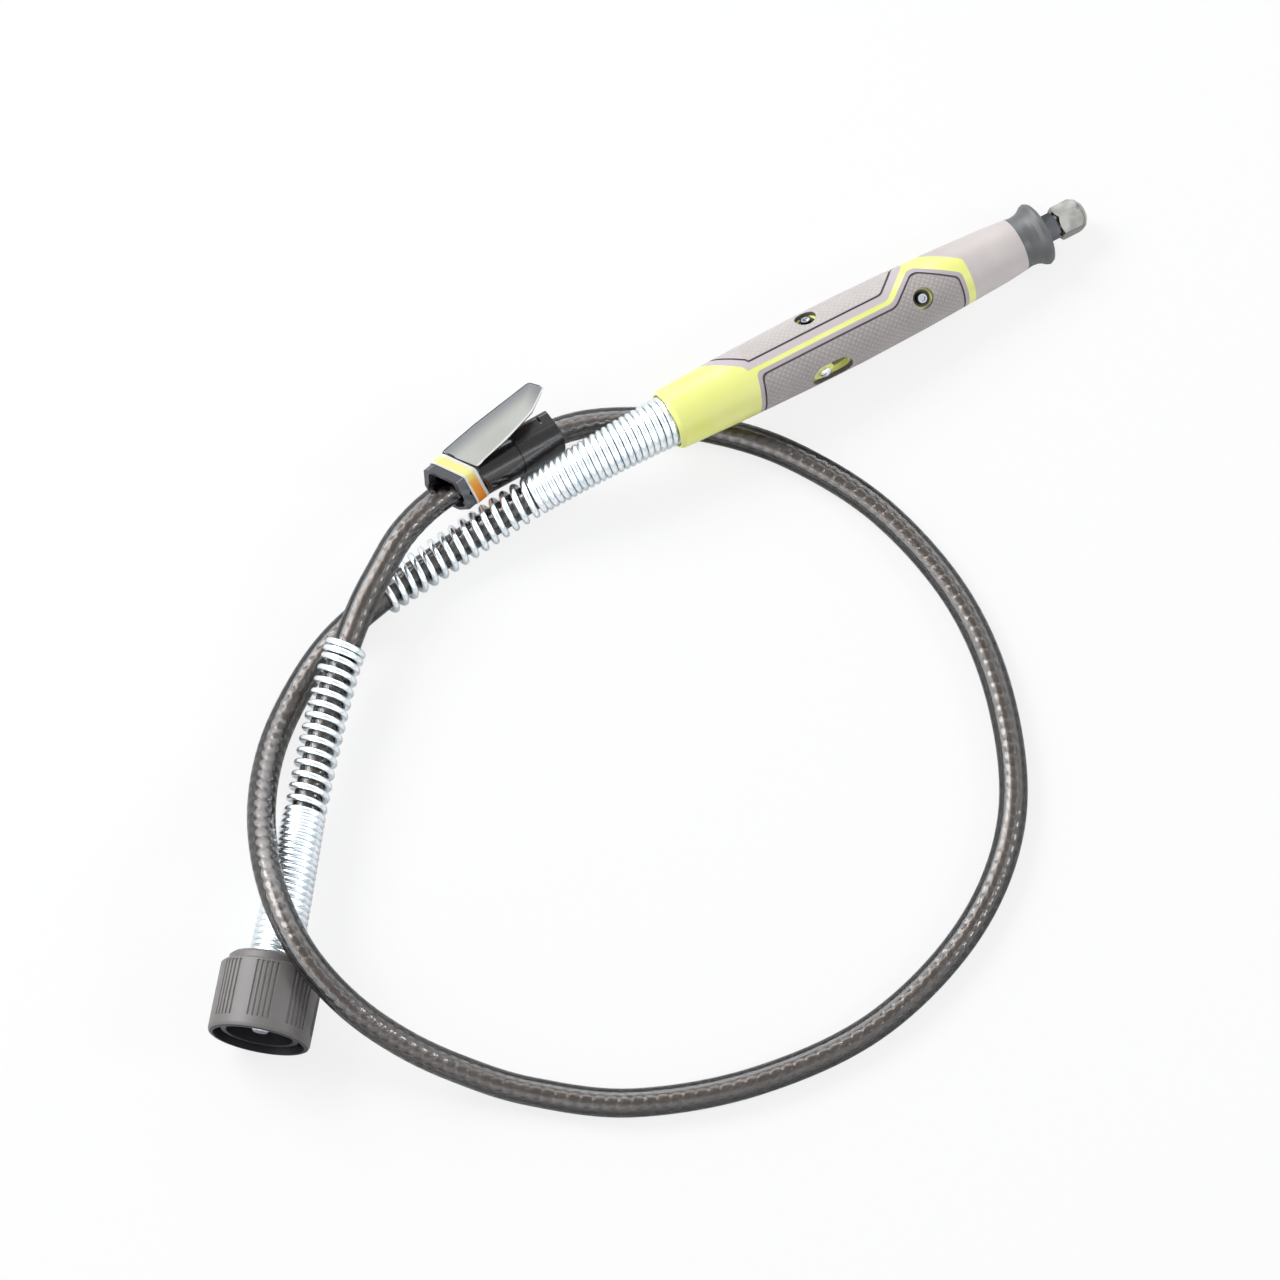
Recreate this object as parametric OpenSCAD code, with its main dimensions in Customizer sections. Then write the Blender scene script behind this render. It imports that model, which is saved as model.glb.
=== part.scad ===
// Flexible-shaft rotary tool: a pen-like handpiece with a collet chuck, about a metre of
// sheathed drive shaft with a coil spring at each end, a hanger clip on the sheath, and the
// coupling nut that screws the shaft on to a motor.
// Millimetres. The handpiece lies along X with its chuck at +X, nose down on the table z = 0.

/* [Handpiece] */
// Length from the rear edge of the collar to the front of the collet nut
handpiece_l = 138; // [128:1:150]
// Angle by which the handpiece lies nose down
handpiece_tilt = 4.5; // [3.5:0.1:5.5]
// Radius of the collar at its rear edge
collar_r = 9.1; // [9:0.1:9.6]
// Largest radius of the grips
grip_r = 10.35; // [10.1:0.05:11]
// Thickness of the soft grips
grip_t = 1.4; // [1.1:0.1:1.5]
// Width of the coloured line between the two grips
line_w = 1.4; // [1:0.1:2]
// Width of the coloured band round the front of the grips
band_w = 2.8; // [2:0.1:3.4]
// Distance from the edge of the upper grip to its groove
groove_inset = 2.1; // [1.8:0.1:2.6]
// Distance from the edge of the lower grip to its groove
lower_groove_inset = 1.2; // [1:0.1:1.6]
// Width of the groove
groove_w = 0.6; // [0.4:0.1:0.9]
// Depth of the groove
groove_d = 0.4; // [0.3:0.1:0.6]
// Radius of the flared lip at the nose
lip_r = 9.5; // [9.2:0.1:10]
// Radius of the nose just behind the flared ring
nose_r = 7.9; // [7.7:0.1:8.3]

/* [Chuck and bearings] */
// Across flats of the collet nut
collet_nut_af = 9; // [8.6:0.1:10]
// Length of the collet nut
collet_nut_l = 8.9; // [8.5:0.1:10]
// Across flats of the spindle's hexagon
spindle_hex_af = 7.1; // [6.6:0.1:7.6]
// Bore of the collet
collet_bore_d = 3.2; // [2.4:0.1:3.2]
// Diameter of the spindle
spindle_d = 6; // [5.8:0.1:6.2]
// Outer diameter of the bearings
bearing_od = 13; // [12.8:0.1:13.2]
// Width of the bearings
bearing_w = 5; // [4.6:0.1:5.4]
// Diameter of a bearing ball
ball_d = 2; // [1.8:0.1:2.1]
// Balls in each bearing
ball_count = 7; // [5:1:8]
// Wall of the barrel that holds the bearings
barrel_t = 0.9; // [0.7:0.05:1]

/* [Spindle lock] */
// Length of the slot that the lock slides in
lock_slot_l = 11.5; // [11:0.1:13]
// Width of the slot
lock_slot_w = 6.4; // [6:0.1:7]
// Travel of the lock towards the chuck
lock_travel = 4.5; // [3.5:0.1:4.7]
// Diameter of the lock's knob
lock_knob_d = 3.7; // [3:0.1:4.4]

/* [Shaft] */
// Outer diameter of the sheath
sheath_d = 8.1; // [7.9:0.1:8.2]
// Wall of the sheath
sheath_t = 1; // [0.8:0.1:1.1]
// Wall of the steel liner inside the sheath
liner_t = 0.7; // [0.5:0.1:0.8]
// Diameter of the drive core
core_d = 3.2; // [2.8:0.1:3.3]

/* [Springs] */
// Wire diameter of both springs
wire_d = 1.4; // [1.2:0.1:1.4]
// Mean radius of the springs where they are widest
spring_big_r = 7; // [6.9:0.1:7.1]
// Mean radius of the springs on the sheath
spring_small_r = 5.45; // [5.4:0.05:5.5]
// Pitch of the closely wound turns
close_pitch = 1.9; // [1.88:0.02:2]
// Pitch of the open turns
open_pitch = 3.5; // [3.3:0.1:3.7]
// Close turns of the handpiece's spring
grip_close_turns = 24; // [20:1:25]
// Open turns of the handpiece's spring
grip_open_turns = 15; // [12:1:15]
// Close turns of the drive end's spring
drive_close_turns = 24; // [20:1:25]
// Open turns of the drive end's spring
drive_open_turns = 13; // [12:1:15]
// Turns that close the free end of the drive end's spring
drive_end_turns = 2; // [0:1:3]
// Pitch of those turns
end_pitch = 2.1; // [2:0.1:2.6]

/* [Coupling nut] */
// Overall length of the nut
nut_l = 23; // [22:0.5:26]
// Radius of the nut at its mouth
nut_r = 14.4; // [14:0.1:14.4]
// Length of the shoulder at the rear of the nut
shoulder_l = 2.8; // [2.4:0.1:3.4]
// Radius of the shoulder
shoulder_r = 12.6; // [12.2:0.1:13]
// Wall of the nut at its mouth
nut_wall = 1.5; // [1.2:0.1:2]
// Groups of grip grooves round the nut
groove_groups = 8; // [6:1:9]
// Grooves in each group
grooves_per_group = 5; // [3:1:5]
// Width of a groove
nut_groove_w = 0.9; // [0.7:0.05:1]
// Bore of the thread that takes the motor's nose
thread_d = 19; // [18.4:0.1:19.4]
// Wall of the threaded insert
insert_t = 1.4; // [1.2:0.1:1.8]
// Diameter of the drive tip
tip_d = 5; // [4.6:0.1:5.2]

/* [Clip] */
// Outer radius of the clip's barrel
clip_r = 6.2; // [6:0.1:6.3]
// Length of the clip's barrel
clip_l = 30; // [28:0.5:31]
// Thickness of the clip's tongue and loop
clip_t = 1.3; // [1:0.1:1.5]
// Length of the tongue from the middle of the loop
tongue_l = 36; // [32:1:38]
// Angle by which the tongue lifts off the barrel
tongue_tilt = 11; // [9:0.5:13]

/* [Hidden] */

$fn = 48;
eps = 0.01;
run_gap = 0.05;        // running clearance, radial
clear_gap = 0.3;       // clearance between pieces that only pass each other

// --- Stations along the handpiece, measured from the collar's rear edge ---
nut_front_u = handpiece_l;
nut_rear_u = nut_front_u - collet_nut_l;
ring_front_u = nut_rear_u - 5.1;      // front face of the flared ring
lip_u = ring_front_u - 1.4;
ring_rear_u = ring_front_u - 8.6;     // seam between nose barrel and ring
band_u = ring_rear_u - 18.4;          // front edge of the band underneath
line_bend_u = band_u - 25.8;          // where the line leaves the seam
line_rear_u = 26.4;                   // where the line starts behind the grips
grip_mid_u = 60;
seam_roll = -82;                      // turns the seam plane to the front side

// --- Handpiece set down on the table ---
nut_nose_r = 2.9;
collar_edge_r = collar_r - 1.4;
handpiece_z = lip_r * cos(handpiece_tilt) + lip_u * sin(handpiece_tilt);
handpiece_x = ((collar_edge_r - nut_nose_r) * sin(handpiece_tilt) - handpiece_l * cos(handpiece_tilt)) / 2;
module handle() {
    translate([handpiece_x, 0, handpiece_z]) rotate([0, handpiece_tilt, 0]) children();
}
module at_roll(u, roll, r = 0) {
    rotate([roll, 0, 0]) translate([u, 0, r]) children();
}
// A solid of revolution about the handpiece's axis from [station, radius] points
module turned(points) {
    rotate([90, 0, 90]) rotate_extrude() polygon([for (p = points) [p[1], p[0]]]);
}
module ring_between(u0, u1, r_in, r_out) {
    turned([[u0, r_in], [u1, r_in], [u1, r_out], [u0, r_out]]);
}

// --- Outside of the handpiece: radius at stations, front to the nose's seam ---
body_profile = [[0, collar_edge_r], [0.4, collar_r - 0.6], [1.4, collar_r], [24, grip_r - 0.45],
                [44, grip_r - 0.05], [grip_mid_u, grip_r], [band_u - 15.9, grip_r - 0.48],
                [band_u - 1.4, grip_r - 1.1], [band_u + 12, nose_r + 0.65], [ring_rear_u, nose_r]];
function body_r(u) = lookup(u, body_profile);

// --- Rounded outlines ---
function unit(v) = v / norm(v);
function turn_corner(a, b, c, r, steps) =
    let (u1 = unit(a - b), u2 = unit(c - b), half = acos(u1 * u2) / 2, d = r / tan(half),
         mid = b + unit(u1 + u2) * r / sin(half), s = b + u1 * d - mid, e = b + u2 * d - mid,
         sweep = 180 - 2 * half, side = sign(s[0] * e[1] - s[1] * e[0]))
    [for (i = [0:steps]) let (g = side * sweep * i / steps)
        mid + [s[0] * cos(g) - s[1] * sin(g), s[0] * sin(g) + s[1] * cos(g)]];
// r is one radius for all the corners, or a list with one for each
function rounded(p, r, steps = 5) = let (n = len(p))
    [for (i = [0:n - 1]) each
        turn_corner(p[(i + n - 1) % n], p[i], p[(i + 1) % n], is_list(r) ? r[i] : r, steps)];
function edge_normal(a, b) = let (d = unit(b - a)) [-d[1], d[0]];
function inset(p, d) = let (n = len(p))
    [for (i = [0:n - 1]) let (n1 = edge_normal(p[(i + n - 1) % n], p[i]),
        n2 = edge_normal(p[i], p[(i + 1) % n])) p[i] + (n1 + n2) * d / (1 + n1 * n2)];

// --- Grip outlines seen along the seam, as [station, height], anticlockwise ---
corner_r = 0.7;                       // rounding of the outlines' sharp corners
line_corner_r = 3;                    // rounding where the line and the band turn
side_h = grip_r + groove_inset + groove_w + 2 * corner_r;   // well outside the body
side_u = 6;                           // how far the nose's outline runs past its seam
seam_h = line_w / 2;
upper_outline = [[line_rear_u - 1, seam_h], [line_bend_u, seam_h], [band_u - 15.6, 8.6],
                 [band_u - 14.4, side_h], [line_rear_u - 13.2, side_h], [line_rear_u - 11.6, 9.6],
                 [line_rear_u - 1.8, 2.4]];
lower_outline = [[line_rear_u - 2, -side_h], [band_u - band_w + 0.5, -side_h],
                 [band_u - band_w + 0.5, -1.6], [band_u - 15.1, 6.9],
                 [line_bend_u + 0.9, -seam_h], [line_rear_u + 1, -seam_h]];
// Radii of the corners, in the same order
upper_radii = [corner_r, line_corner_r, line_corner_r, corner_r, corner_r, corner_r, corner_r];
lower_radii = [corner_r, corner_r, 2, line_corner_r, line_corner_r + line_w, 1.8];
nose_radii = [corner_r, corner_r, corner_r, corner_r, line_corner_r, 2];
nose_outline = [[band_u, -side_h], [ring_rear_u + side_u, -side_h], [ring_rear_u + side_u, side_h],
                [band_u - 14.5, side_h], [band_u - 10, 9.2], [band_u, 1.9]];

// Everything of the side outline, through the handpiece from side to side
module side_cut(outline, radii) {
    rotate([seam_roll, 0, 0]) rotate([90, 0, 0])
        translate([0, 0, -2 * grip_r]) linear_extrude(4 * grip_r) polygon(rounded(outline, radii));
}
module body_shell(r_in, out = 0, u0 = 0, u1 = ring_rear_u) {
    turned(concat([[u0, r_in], [u0, body_r(u0) + out]],
                  [for (p = body_profile) if (p[0] > u0 && p[0] < u1) [p[0], p[1] + out]],
                  [[u1, body_r(u1) + out], [u1, r_in]]));
}

// --- Fits inside the handpiece ---
barrel_r = bearing_od / 2 + barrel_t;
barrel_rear_u = 24;
front_bearing_u = ring_rear_u - 7.4;
rear_bearing_u = 28;
spring_bore_r = spring_big_r + wire_d / 2 + clear_gap + 0.1;
ferrule_u = 3;                        // face that the spring butts on
ferrule_flange_l = 3;
sheath_end_u = 7.9;
ball_pitch_r = (spindle_d / 2 + bearing_od / 2) / 2;
screw_places = [[48.4, -39], [band_u - 15.9, 28]];
lock_roll = 78;
lock_rear_u = 43.1;
lock_collar_u = lock_rear_u + lock_slot_l + 1.5;
screw_recess_r = 3.2;
screw_seat_d = 0.5;                   // depth of the seats for the heads, below the grips
screw_head_d = 3.8;
screw_shank_r = 1;

module screw_holes(r, u_out, u_in) {
    for (s = screw_places) at_roll(s[0], s[1], u_in) cylinder(r = r, h = u_out - u_in);
}
// Stadium-shaped prism along the handpiece, pointing out at the lock's roll
module lock_prism(u0, u1, w, r0, r1) {
    at_roll(0, lock_roll, 0) for (u = [u0 + w / 2, u1 - w / 2]) translate([u, 0, r0])
        cylinder(d = w, h = r1 - r0);
    at_roll(0, lock_roll, 0) translate([u0 + w / 2, -w / 2, r0]) cube([u1 - u0 - w, w, r1 - r0]);
}

module handle_core() color([0.85, 0.95, 0.2]) handle() difference() {
    union() {
        body_shell(barrel_r, -grip_t, barrel_rear_u - 6, band_u + 1);
        difference() {
            body_shell(barrel_r, 0, 0, band_u + 1);
            side_cut(upper_outline, upper_radii);
            side_cut(lower_outline, lower_radii);
            side_cut(nose_outline, nose_radii);
        }
    }
    ring_between(-1, 16, 0, spring_bore_r);
    ring_between(15.9, barrel_rear_u, 0, barrel_r - 1);
    screw_holes(screw_shank_r, grip_r, barrel_r - 2);
    for (s = screw_places) at_roll(s[0], s[1], body_r(s[0]) - grip_t - screw_seat_d)
        cylinder(r = screw_recess_r, h = screw_seat_d + grip_t);
    lock_prism(lock_rear_u, lock_rear_u + lock_slot_l, lock_slot_w, barrel_r - 2, grip_r + 1);
}

module grip(outline, radii, to_groove) {
    difference() {
        intersection() {
            body_shell(0, 0, 0, ring_rear_u);
            side_cut(outline, radii);
        }
        body_shell(0, -grip_t, 0, ring_rear_u);
        difference() {
            side_cut(inset(outline, to_groove), radii);
            side_cut(inset(outline, to_groove + groove_w), radii);
            body_shell(0, -groove_d, 0, ring_rear_u);
        }
        screw_holes(screw_recess_r, grip_r + 1, barrel_r);
        lock_prism(lock_rear_u - 0.8, lock_rear_u + lock_slot_l + 0.8, lock_slot_w + 1.6, barrel_r - 2,
                   grip_r + 1);
    }
}
module upper_grip() color([0.66, 0.62, 0.6]) handle() grip(upper_outline, upper_radii, groove_inset);
module lower_grip() color([0.62, 0.58, 0.56]) handle()
    grip(lower_outline, lower_radii, lower_groove_inset);

module nose_barrel() color([0.74, 0.71, 0.7]) handle() difference() {
    intersection() {
        body_shell(0, 0, band_u - 16, ring_rear_u);
        side_cut(nose_outline, nose_radii);
    }
    body_shell(0, -grip_t, band_u - 17, band_u + 1);
    ring_between(band_u, ring_rear_u + 1, 0, barrel_r);
}

ring_bore_r = 4.6;
module nose_ring() color([0.42, 0.43, 0.42]) handle() turned([
    [ring_rear_u, ring_bore_r], [ring_front_u - 1.2, ring_bore_r], [ring_front_u, ring_bore_r + 0.6],
    [ring_front_u, lip_r - 1.3], [ring_front_u - 0.5, lip_r - 0.4], [lip_u, lip_r],
    [lip_u - 0.8, lip_r - 0.3], [lip_u - 2, lip_r - 1.2], [lip_u - 3.4, nose_r - 0.1],
    [lip_u - 5.2, nose_r - 0.3], [ring_rear_u, nose_r]]);

module grip_screws() color([0.75, 0.76, 0.78]) handle() for (s = screw_places)
    at_roll(s[0], s[1], body_r(s[0]) - grip_t - screw_seat_d + 0.05) difference() {
        union() {
            cylinder(d1 = screw_head_d, d2 = screw_head_d - 0.4, h = 1.1);
            translate([0, 0, -1.1]) cylinder(r = screw_shank_r - 0.02, h = 1.11);
        }
        translate([0, 0, 0.5]) cylinder(d = 2, h = 2, $fn = 6);
    }

module bearing_barrel() color([0.78, 0.79, 0.8]) handle() difference() {
    ring_between(barrel_rear_u, ring_rear_u - 2.1, bearing_od / 2, barrel_r);
    screw_holes(screw_shank_r, barrel_r + 1, bearing_od / 2 - 1);
    lock_prism(lock_rear_u, lock_rear_u + lock_slot_l, lock_slot_w - 2, 2, barrel_r + 1);
}

// --- Ball bearings ---
race_r = ball_d / 2 + run_gap;
module bearing_outer(u) {
    difference() {
        ring_between(u, u + bearing_w, ball_pitch_r + ball_d * 0.32, bearing_od / 2);
        turned_groove(u);
    }
}
module bearing_inner(u) {
    difference() {
        ring_between(u, u + bearing_w, spindle_d / 2, ball_pitch_r - ball_d * 0.32);
        turned_groove(u);
    }
}
module turned_groove(u) {
    translate([u + bearing_w / 2, 0, 0]) rotate([0, 90, 0]) rotate_extrude()
        translate([ball_pitch_r, 0]) circle(r = race_r);
}
module bearing_balls(u) {
    for (i = [0:ball_count - 1]) at_roll(u + bearing_w / 2, 360 * i / ball_count, ball_pitch_r)
        sphere(d = ball_d);
}
module bearing_cage(u) {
    difference() {
        ring_between(u + bearing_w / 2 - ball_d * 0.7, u + bearing_w / 2 + ball_d * 0.7,
                     ball_pitch_r - 0.25, ball_pitch_r + 0.25);
        for (i = [0:ball_count - 1]) at_roll(u + bearing_w / 2, 360 * i / ball_count, ball_pitch_r - 1)
            cylinder(r = race_r, h = 2);
    }
}
module front_bearing_outer() color([0.7, 0.72, 0.75]) handle() bearing_outer(front_bearing_u);
module front_bearing_inner() color([0.7, 0.72, 0.75]) handle() bearing_inner(front_bearing_u);
module front_bearing_balls() color([0.85, 0.87, 0.9]) handle() bearing_balls(front_bearing_u);
module front_bearing_cage() color([0.7, 0.6, 0.3]) handle() bearing_cage(front_bearing_u);
module rear_bearing_outer() color([0.7, 0.72, 0.75]) handle() bearing_outer(rear_bearing_u);
module rear_bearing_inner() color([0.7, 0.72, 0.75]) handle() bearing_inner(rear_bearing_u);
module rear_bearing_balls() color([0.85, 0.87, 0.9]) handle() bearing_balls(rear_bearing_u);
module rear_bearing_cage() color([0.7, 0.6, 0.3]) handle() bearing_cage(rear_bearing_u);

// Sleeve on the barrel's wall that keeps the outer rings apart, open under the lock
module bearing_spacer() color([0.6, 0.62, 0.64]) handle() difference() {
    ring_between(rear_bearing_u + bearing_w, front_bearing_u, bearing_od / 2 - 0.6, bearing_od / 2);
    screw_holes(screw_shank_r + 0.3, barrel_r, 3);
    lock_prism(lock_rear_u - 0.5, lock_rear_u + lock_slot_l + 0.5, lock_slot_w - 1, 2, barrel_r);
}
module bearing_clip() color([0.3, 0.3, 0.32]) handle() difference() {
    ring_between(rear_bearing_u - 1.2, rear_bearing_u, 5.4, bearing_od / 2);
    translate([rear_bearing_u - 3, -1.2, 0]) cube([4, 2.4, 8]);
}

// --- Spindle with its lock collar, hexagon and threaded nose ---
lock_collar_r = 4.9;
lock_dog_w = 2;
spindle_rear_u = 12.6;
socket_r = core_d / 2 + clear_gap;
nose_thread_r = 3.3;
nose_end_u = nut_front_u - 3.4;
collet_r = collet_bore_d / 2 + 0.75;
module spindle() color([0.45, 0.46, 0.48]) handle() difference() {
    union() {
        turned([[spindle_rear_u, 0], [spindle_rear_u, 3.4 - 0.4], [rear_bearing_u - 1.6, spindle_d / 2],
                [nose_end_u, spindle_d / 2], [nose_end_u, 0]]);
        ring_between(rear_bearing_u + bearing_w, rear_bearing_u + bearing_w + 2, 0, 3.7);
        ring_between(front_bearing_u - 2, front_bearing_u, 0, 3.7);
        ring_between(lock_collar_u, lock_collar_u + 4, 0, lock_collar_r);
        ring_between(front_bearing_u + bearing_w, ring_front_u, 0, 4.1);
        translate([ring_front_u - eps, 0, 0]) rotate([0, 90, 0])
            cylinder(d = spindle_hex_af / cos(30), h = nut_rear_u - ring_front_u - 0.4, $fn = 6);
        ring_between(nut_rear_u - 0.5, nose_end_u, 0, nose_thread_r);
    }
    ring_between(spindle_rear_u - 1, 22, 0, socket_r);
    ring_between(nose_end_u - 9, nose_end_u + 1, 0, collet_r + run_gap);
    turned([[nose_end_u - 1.2, 0], [nose_end_u - 1.2, collet_r + run_gap],
            [nose_end_u + eps, collet_r + run_gap + 0.35], [nose_end_u + eps, 0]]);
    for (i = [0:3]) at_roll(0, lock_roll + 90 * i)
        translate([lock_collar_u - 1, -(lock_dog_w + 0.5) / 2, 3.5]) cube([6, lock_dog_w + 0.5, 3]);
}

module collet() color([0.72, 0.73, 0.75]) handle() difference() {
    turned([[nose_end_u - 8, 0], [nose_end_u - 8, collet_r], [nose_end_u - 1, collet_r],
            [nose_end_u + 0.2, collet_r + 0.3], [nose_end_u + 1.4, collet_r + 0.3],
            [nose_end_u + 2, collet_r], [nose_end_u + 2, 0]]);
    ring_between(nose_end_u - 9, nose_end_u + 3, 0, collet_bore_d / 2);
    for (i = [0:3]) at_roll(0, 45 + 90 * i) translate([nose_end_u - 6, -0.2, 0]) cube([9, 0.4, 6]);
}

module collet_nut() color([0.35, 0.36, 0.38]) handle() difference() {
    intersection() {
        translate([nut_rear_u, 0, 0]) rotate([0, 90, 0])
            cylinder(d = collet_nut_af / cos(30), h = collet_nut_l, $fn = 6);
        turned([[nut_rear_u, 0], [nut_rear_u, collet_nut_af / 2], [nut_rear_u + 0.6, 5.3],
                [nut_front_u - 3, 5.3], [nut_front_u - 1, 4.2], [nut_front_u, nut_nose_r], [nut_front_u, 0]]);
    }
    ring_between(nut_rear_u - 1, nose_end_u + 0.1, 0, nose_thread_r + run_gap);
    turned([[nose_end_u, 0], [nose_end_u, collet_r + 0.6], [nose_end_u + 1.5, collet_r + 0.6],
            [nose_end_u + 2.2, collet_r + 0.15], [nut_front_u + 1, collet_r + 0.15], [nut_front_u + 1, 0]]);
}

// --- Spindle lock: a slider in the slot, with its dog behind the collar's notch ---
slider_l = lock_slot_l - lock_travel - 0.4;
slider_r = barrel_r + 0.2;
strap_u = lock_rear_u + 3;
strap_r = lock_collar_r + 0.2;
strap_t = 0.6;
dog_end_u = lock_collar_u - clear_gap;
module lock_block(u0, u1, r0, r1) {
    at_roll(0, lock_roll) translate([u0, -lock_dog_w / 2, r0]) cube([u1 - u0, lock_dog_w, r1 - r0]);
}
module lock_slider() color([0.12, 0.12, 0.13]) handle() {
    lock_prism(lock_rear_u + 0.2, lock_rear_u + 0.2 + slider_l, lock_slot_w - 0.4, slider_r, slider_r + 1);
    lock_block(strap_u, strap_u + 2.5, strap_r, slider_r + eps);
    lock_block(strap_u, dog_end_u, strap_r, strap_r + strap_t);
    lock_block(dog_end_u - 2.5, dog_end_u, lock_collar_r - 0.9, strap_r + eps);
}
module lock_knob() color([0.85, 0.86, 0.88]) handle()
    at_roll(lock_rear_u + 0.2 + slider_l / 2 + 0.4, lock_roll, slider_r + 1) intersection() {
        cylinder(d = lock_knob_d, h = 1.6);
        translate([0, 0, -0.9]) sphere(d = 5);
    }

// --- Route of the shaft, from inside the handpiece to inside the coupling nut ---
lay = sheath_d / 2 + run_gap;         // height of the sheath's middle where it lies on the table
route = [[-61, 0, 18.5], [-73, 0, 19.4], [-86, 0.2, 18.9], [-100, 0.6, 16.4], [-116, 1, 12],
         [-131, 0.7, 8.4], [-146, -0.4, 6.6], [-161, -2, 6.4], [-181, -6.5, 5], [-198, -15.5, 5],
         [-213, -28.5, 9], [-225, -46.5, 18], [-232.5, -67.5, 27.2], [-234.5, -88, 30.2],
         [-230.5, -106, 26.2], [-222, -121, 17.5], [-210.5, -134.5, 9.6], [-196, -148.5, 4.9],
         [-173, -165, lay], [-140, -176.5, lay], [-103, -179, lay], [-67, -168, lay],
         [-41, -147, lay], [-26, -117, lay], [-20.5, -84, lay], [-26, -50, lay], [-40, -22, lay],
         [-57, -3, lay], [-76, 10, 5], [-94, 15.5, 9], [-114, 14, 13], [-134, 12.5, 17],
         [-149, 8, 19], [-161, 1, 18.5], [-172, -6.5, 17], [-187, -20, 15],
         [-206, -41.3, 14.5], [-225, -63.9, 14.5], [-244.2, -86.8, 14.5]];
core_ends = [[-49, 0, 17.6], [-246.5, -89.5, 14.5]];
last = len(route) - 1;
// Smooth curve through the route's points: t counts the points
function on_route(t) = let (i = min(max(floor(t), 0), last - 1), u = t - i, p1 = route[i], p2 = route[i + 1],
    p0 = i > 0 ? route[i - 1] : 2 * p1 - p2, p3 = i + 2 <= last ? route[i + 2] : 2 * p2 - p1)
    (2 * p1 + (p2 - p0) * u + (2 * p0 - 5 * p1 + 4 * p2 - p3) * u * u
     + (3 * p1 - p0 - 3 * p2 + p3) * u * u * u) / 2;
function route_dir(t) = let (a = max(t - 0.02, 0), b = min(t + 0.02, last)) unit(on_route(b) - on_route(a));
function side_of(d) = unit(cross(d, [0, 0, 1]));
function circle_ring(p, d, r, sides) = let (s = side_of(d), n = cross(s, d))
    [for (i = [0:sides - 1]) let (g = 360 * (i + 0.5) / sides) p + r * (cos(g) * s + sin(g) * n)];

// Closed tube through equal rings of points; triangles only
module skin_tube(rings) {
    n = len(rings[0]);
    m = len(rings);
    polyhedron(points = [for (r = rings) each r], faces = concat(
        [for (i = [0:m - 2], j = [0:n - 1]) let (a = i * n + j, b = i * n + (j + 1) % n)
            each [[a, b + n, a + n], [a, b, b + n]]],
        [for (j = [1:n - 2]) [0, j + 1, j]],
        [for (j = [1:n - 2]) let (e = (m - 1) * n) [e, e + j, e + j + 1]]));
}
// Closed hollow tube: outer rings and inner rings joined at both ends
module skin_pipe(outer, inner) {
    n = len(outer[0]);
    m = len(outer);
    q = m * n;
    polyhedron(points = concat([for (r = outer) each r], [for (r = inner) each r]), faces = concat(
        [for (i = [0:m - 2], j = [0:n - 1]) let (a = i * n + j, b = i * n + (j + 1) % n)
            each [[a, b + n, a + n], [a, b, b + n],
                  [a + q, a + n + q, b + n + q], [a + q, b + n + q, b + q]]],
        [for (j = [0:n - 1]) let (b = (j + 1) % n) each [[j, b + q, b], [j, j + q, b + q]]],
        [for (j = [0:n - 1]) let (e = (m - 1) * n, b = (j + 1) % n)
            each [[e + j, e + b, e + b + q], [e + j, e + b + q, e + j + q]]]));
}
route_steps = 2;
stations = [for (k = [0:last * route_steps]) k / route_steps];
function route_rings(r, sides) = [for (t = stations) circle_ring(on_route(t), route_dir(t), r, sides)];
module sheath() color([0.29, 0.27, 0.26])
    skin_pipe(route_rings(sheath_d / 2, 12), route_rings(sheath_d / 2 - sheath_t, 12));
liner_r = (sheath_d / 2 - sheath_t) * cos(15) - run_gap;
module sheath_liner() color([0.55, 0.55, 0.56])
    skin_pipe(route_rings(liner_r, 8), route_rings(liner_r - liner_t, 8));
module drive_core() color([0.6, 0.6, 0.62]) skin_tube(concat(
    [circle_ring(core_ends[0], route_dir(0), core_d / 2, 8)], route_rings(core_d / 2, 8),
    [circle_ring(core_ends[1], route_dir(last), core_d / 2, 8)]));

// --- Springs wound round the route ---
curl_rings = 8;
wire_sides = 6;
turn_steps = 12;
// Table of length along the route against t, between two points of the route
function length_table(t0, t1, dir) = let (n = ceil(abs(t1 - t0) * turn_steps),
    p = [for (i = [0:n]) on_route(t0 + dir * i / turn_steps)])
    [for (i = 0, s = 0; i <= n; s = s + (i < n ? norm(p[i + 1] - p[i]) : 0), i = i + 1)
        [s, t0 + dir * i / turn_steps]];
// Middle of the wire at ring k: turns advance by the close pitch, the open pitch and the end's pitch
function wire_mid(k, table, start, close_turns, open_turns, dir) =
    let (turn = k / curl_rings, ended = max(turn - close_turns - open_turns, 0),
         opened = max(turn - close_turns - ended, 0),
         s = start + min(turn, close_turns) * close_pitch + opened * open_pitch + ended * end_pitch,
         t = lookup(s, table),
         r = spring_big_r + (spring_small_r - spring_big_r) * min(turn / close_turns, 1),
         d = route_dir(t), a = side_of(d), b = cross(a, d), g = 360 * turn * dir)
    [on_route(t) + r * (cos(g) * a + sin(g) * b), cos(g) * a + sin(g) * b, d];
function wire_ring(mid, out, tangent) = let (axial = unit(cross(tangent, out)), r = wire_d / 2)
    [for (j = [0:wire_sides - 1]) let (g = 360 * j / wire_sides) mid + r * (cos(g) * out + sin(g) * axial)];
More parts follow.
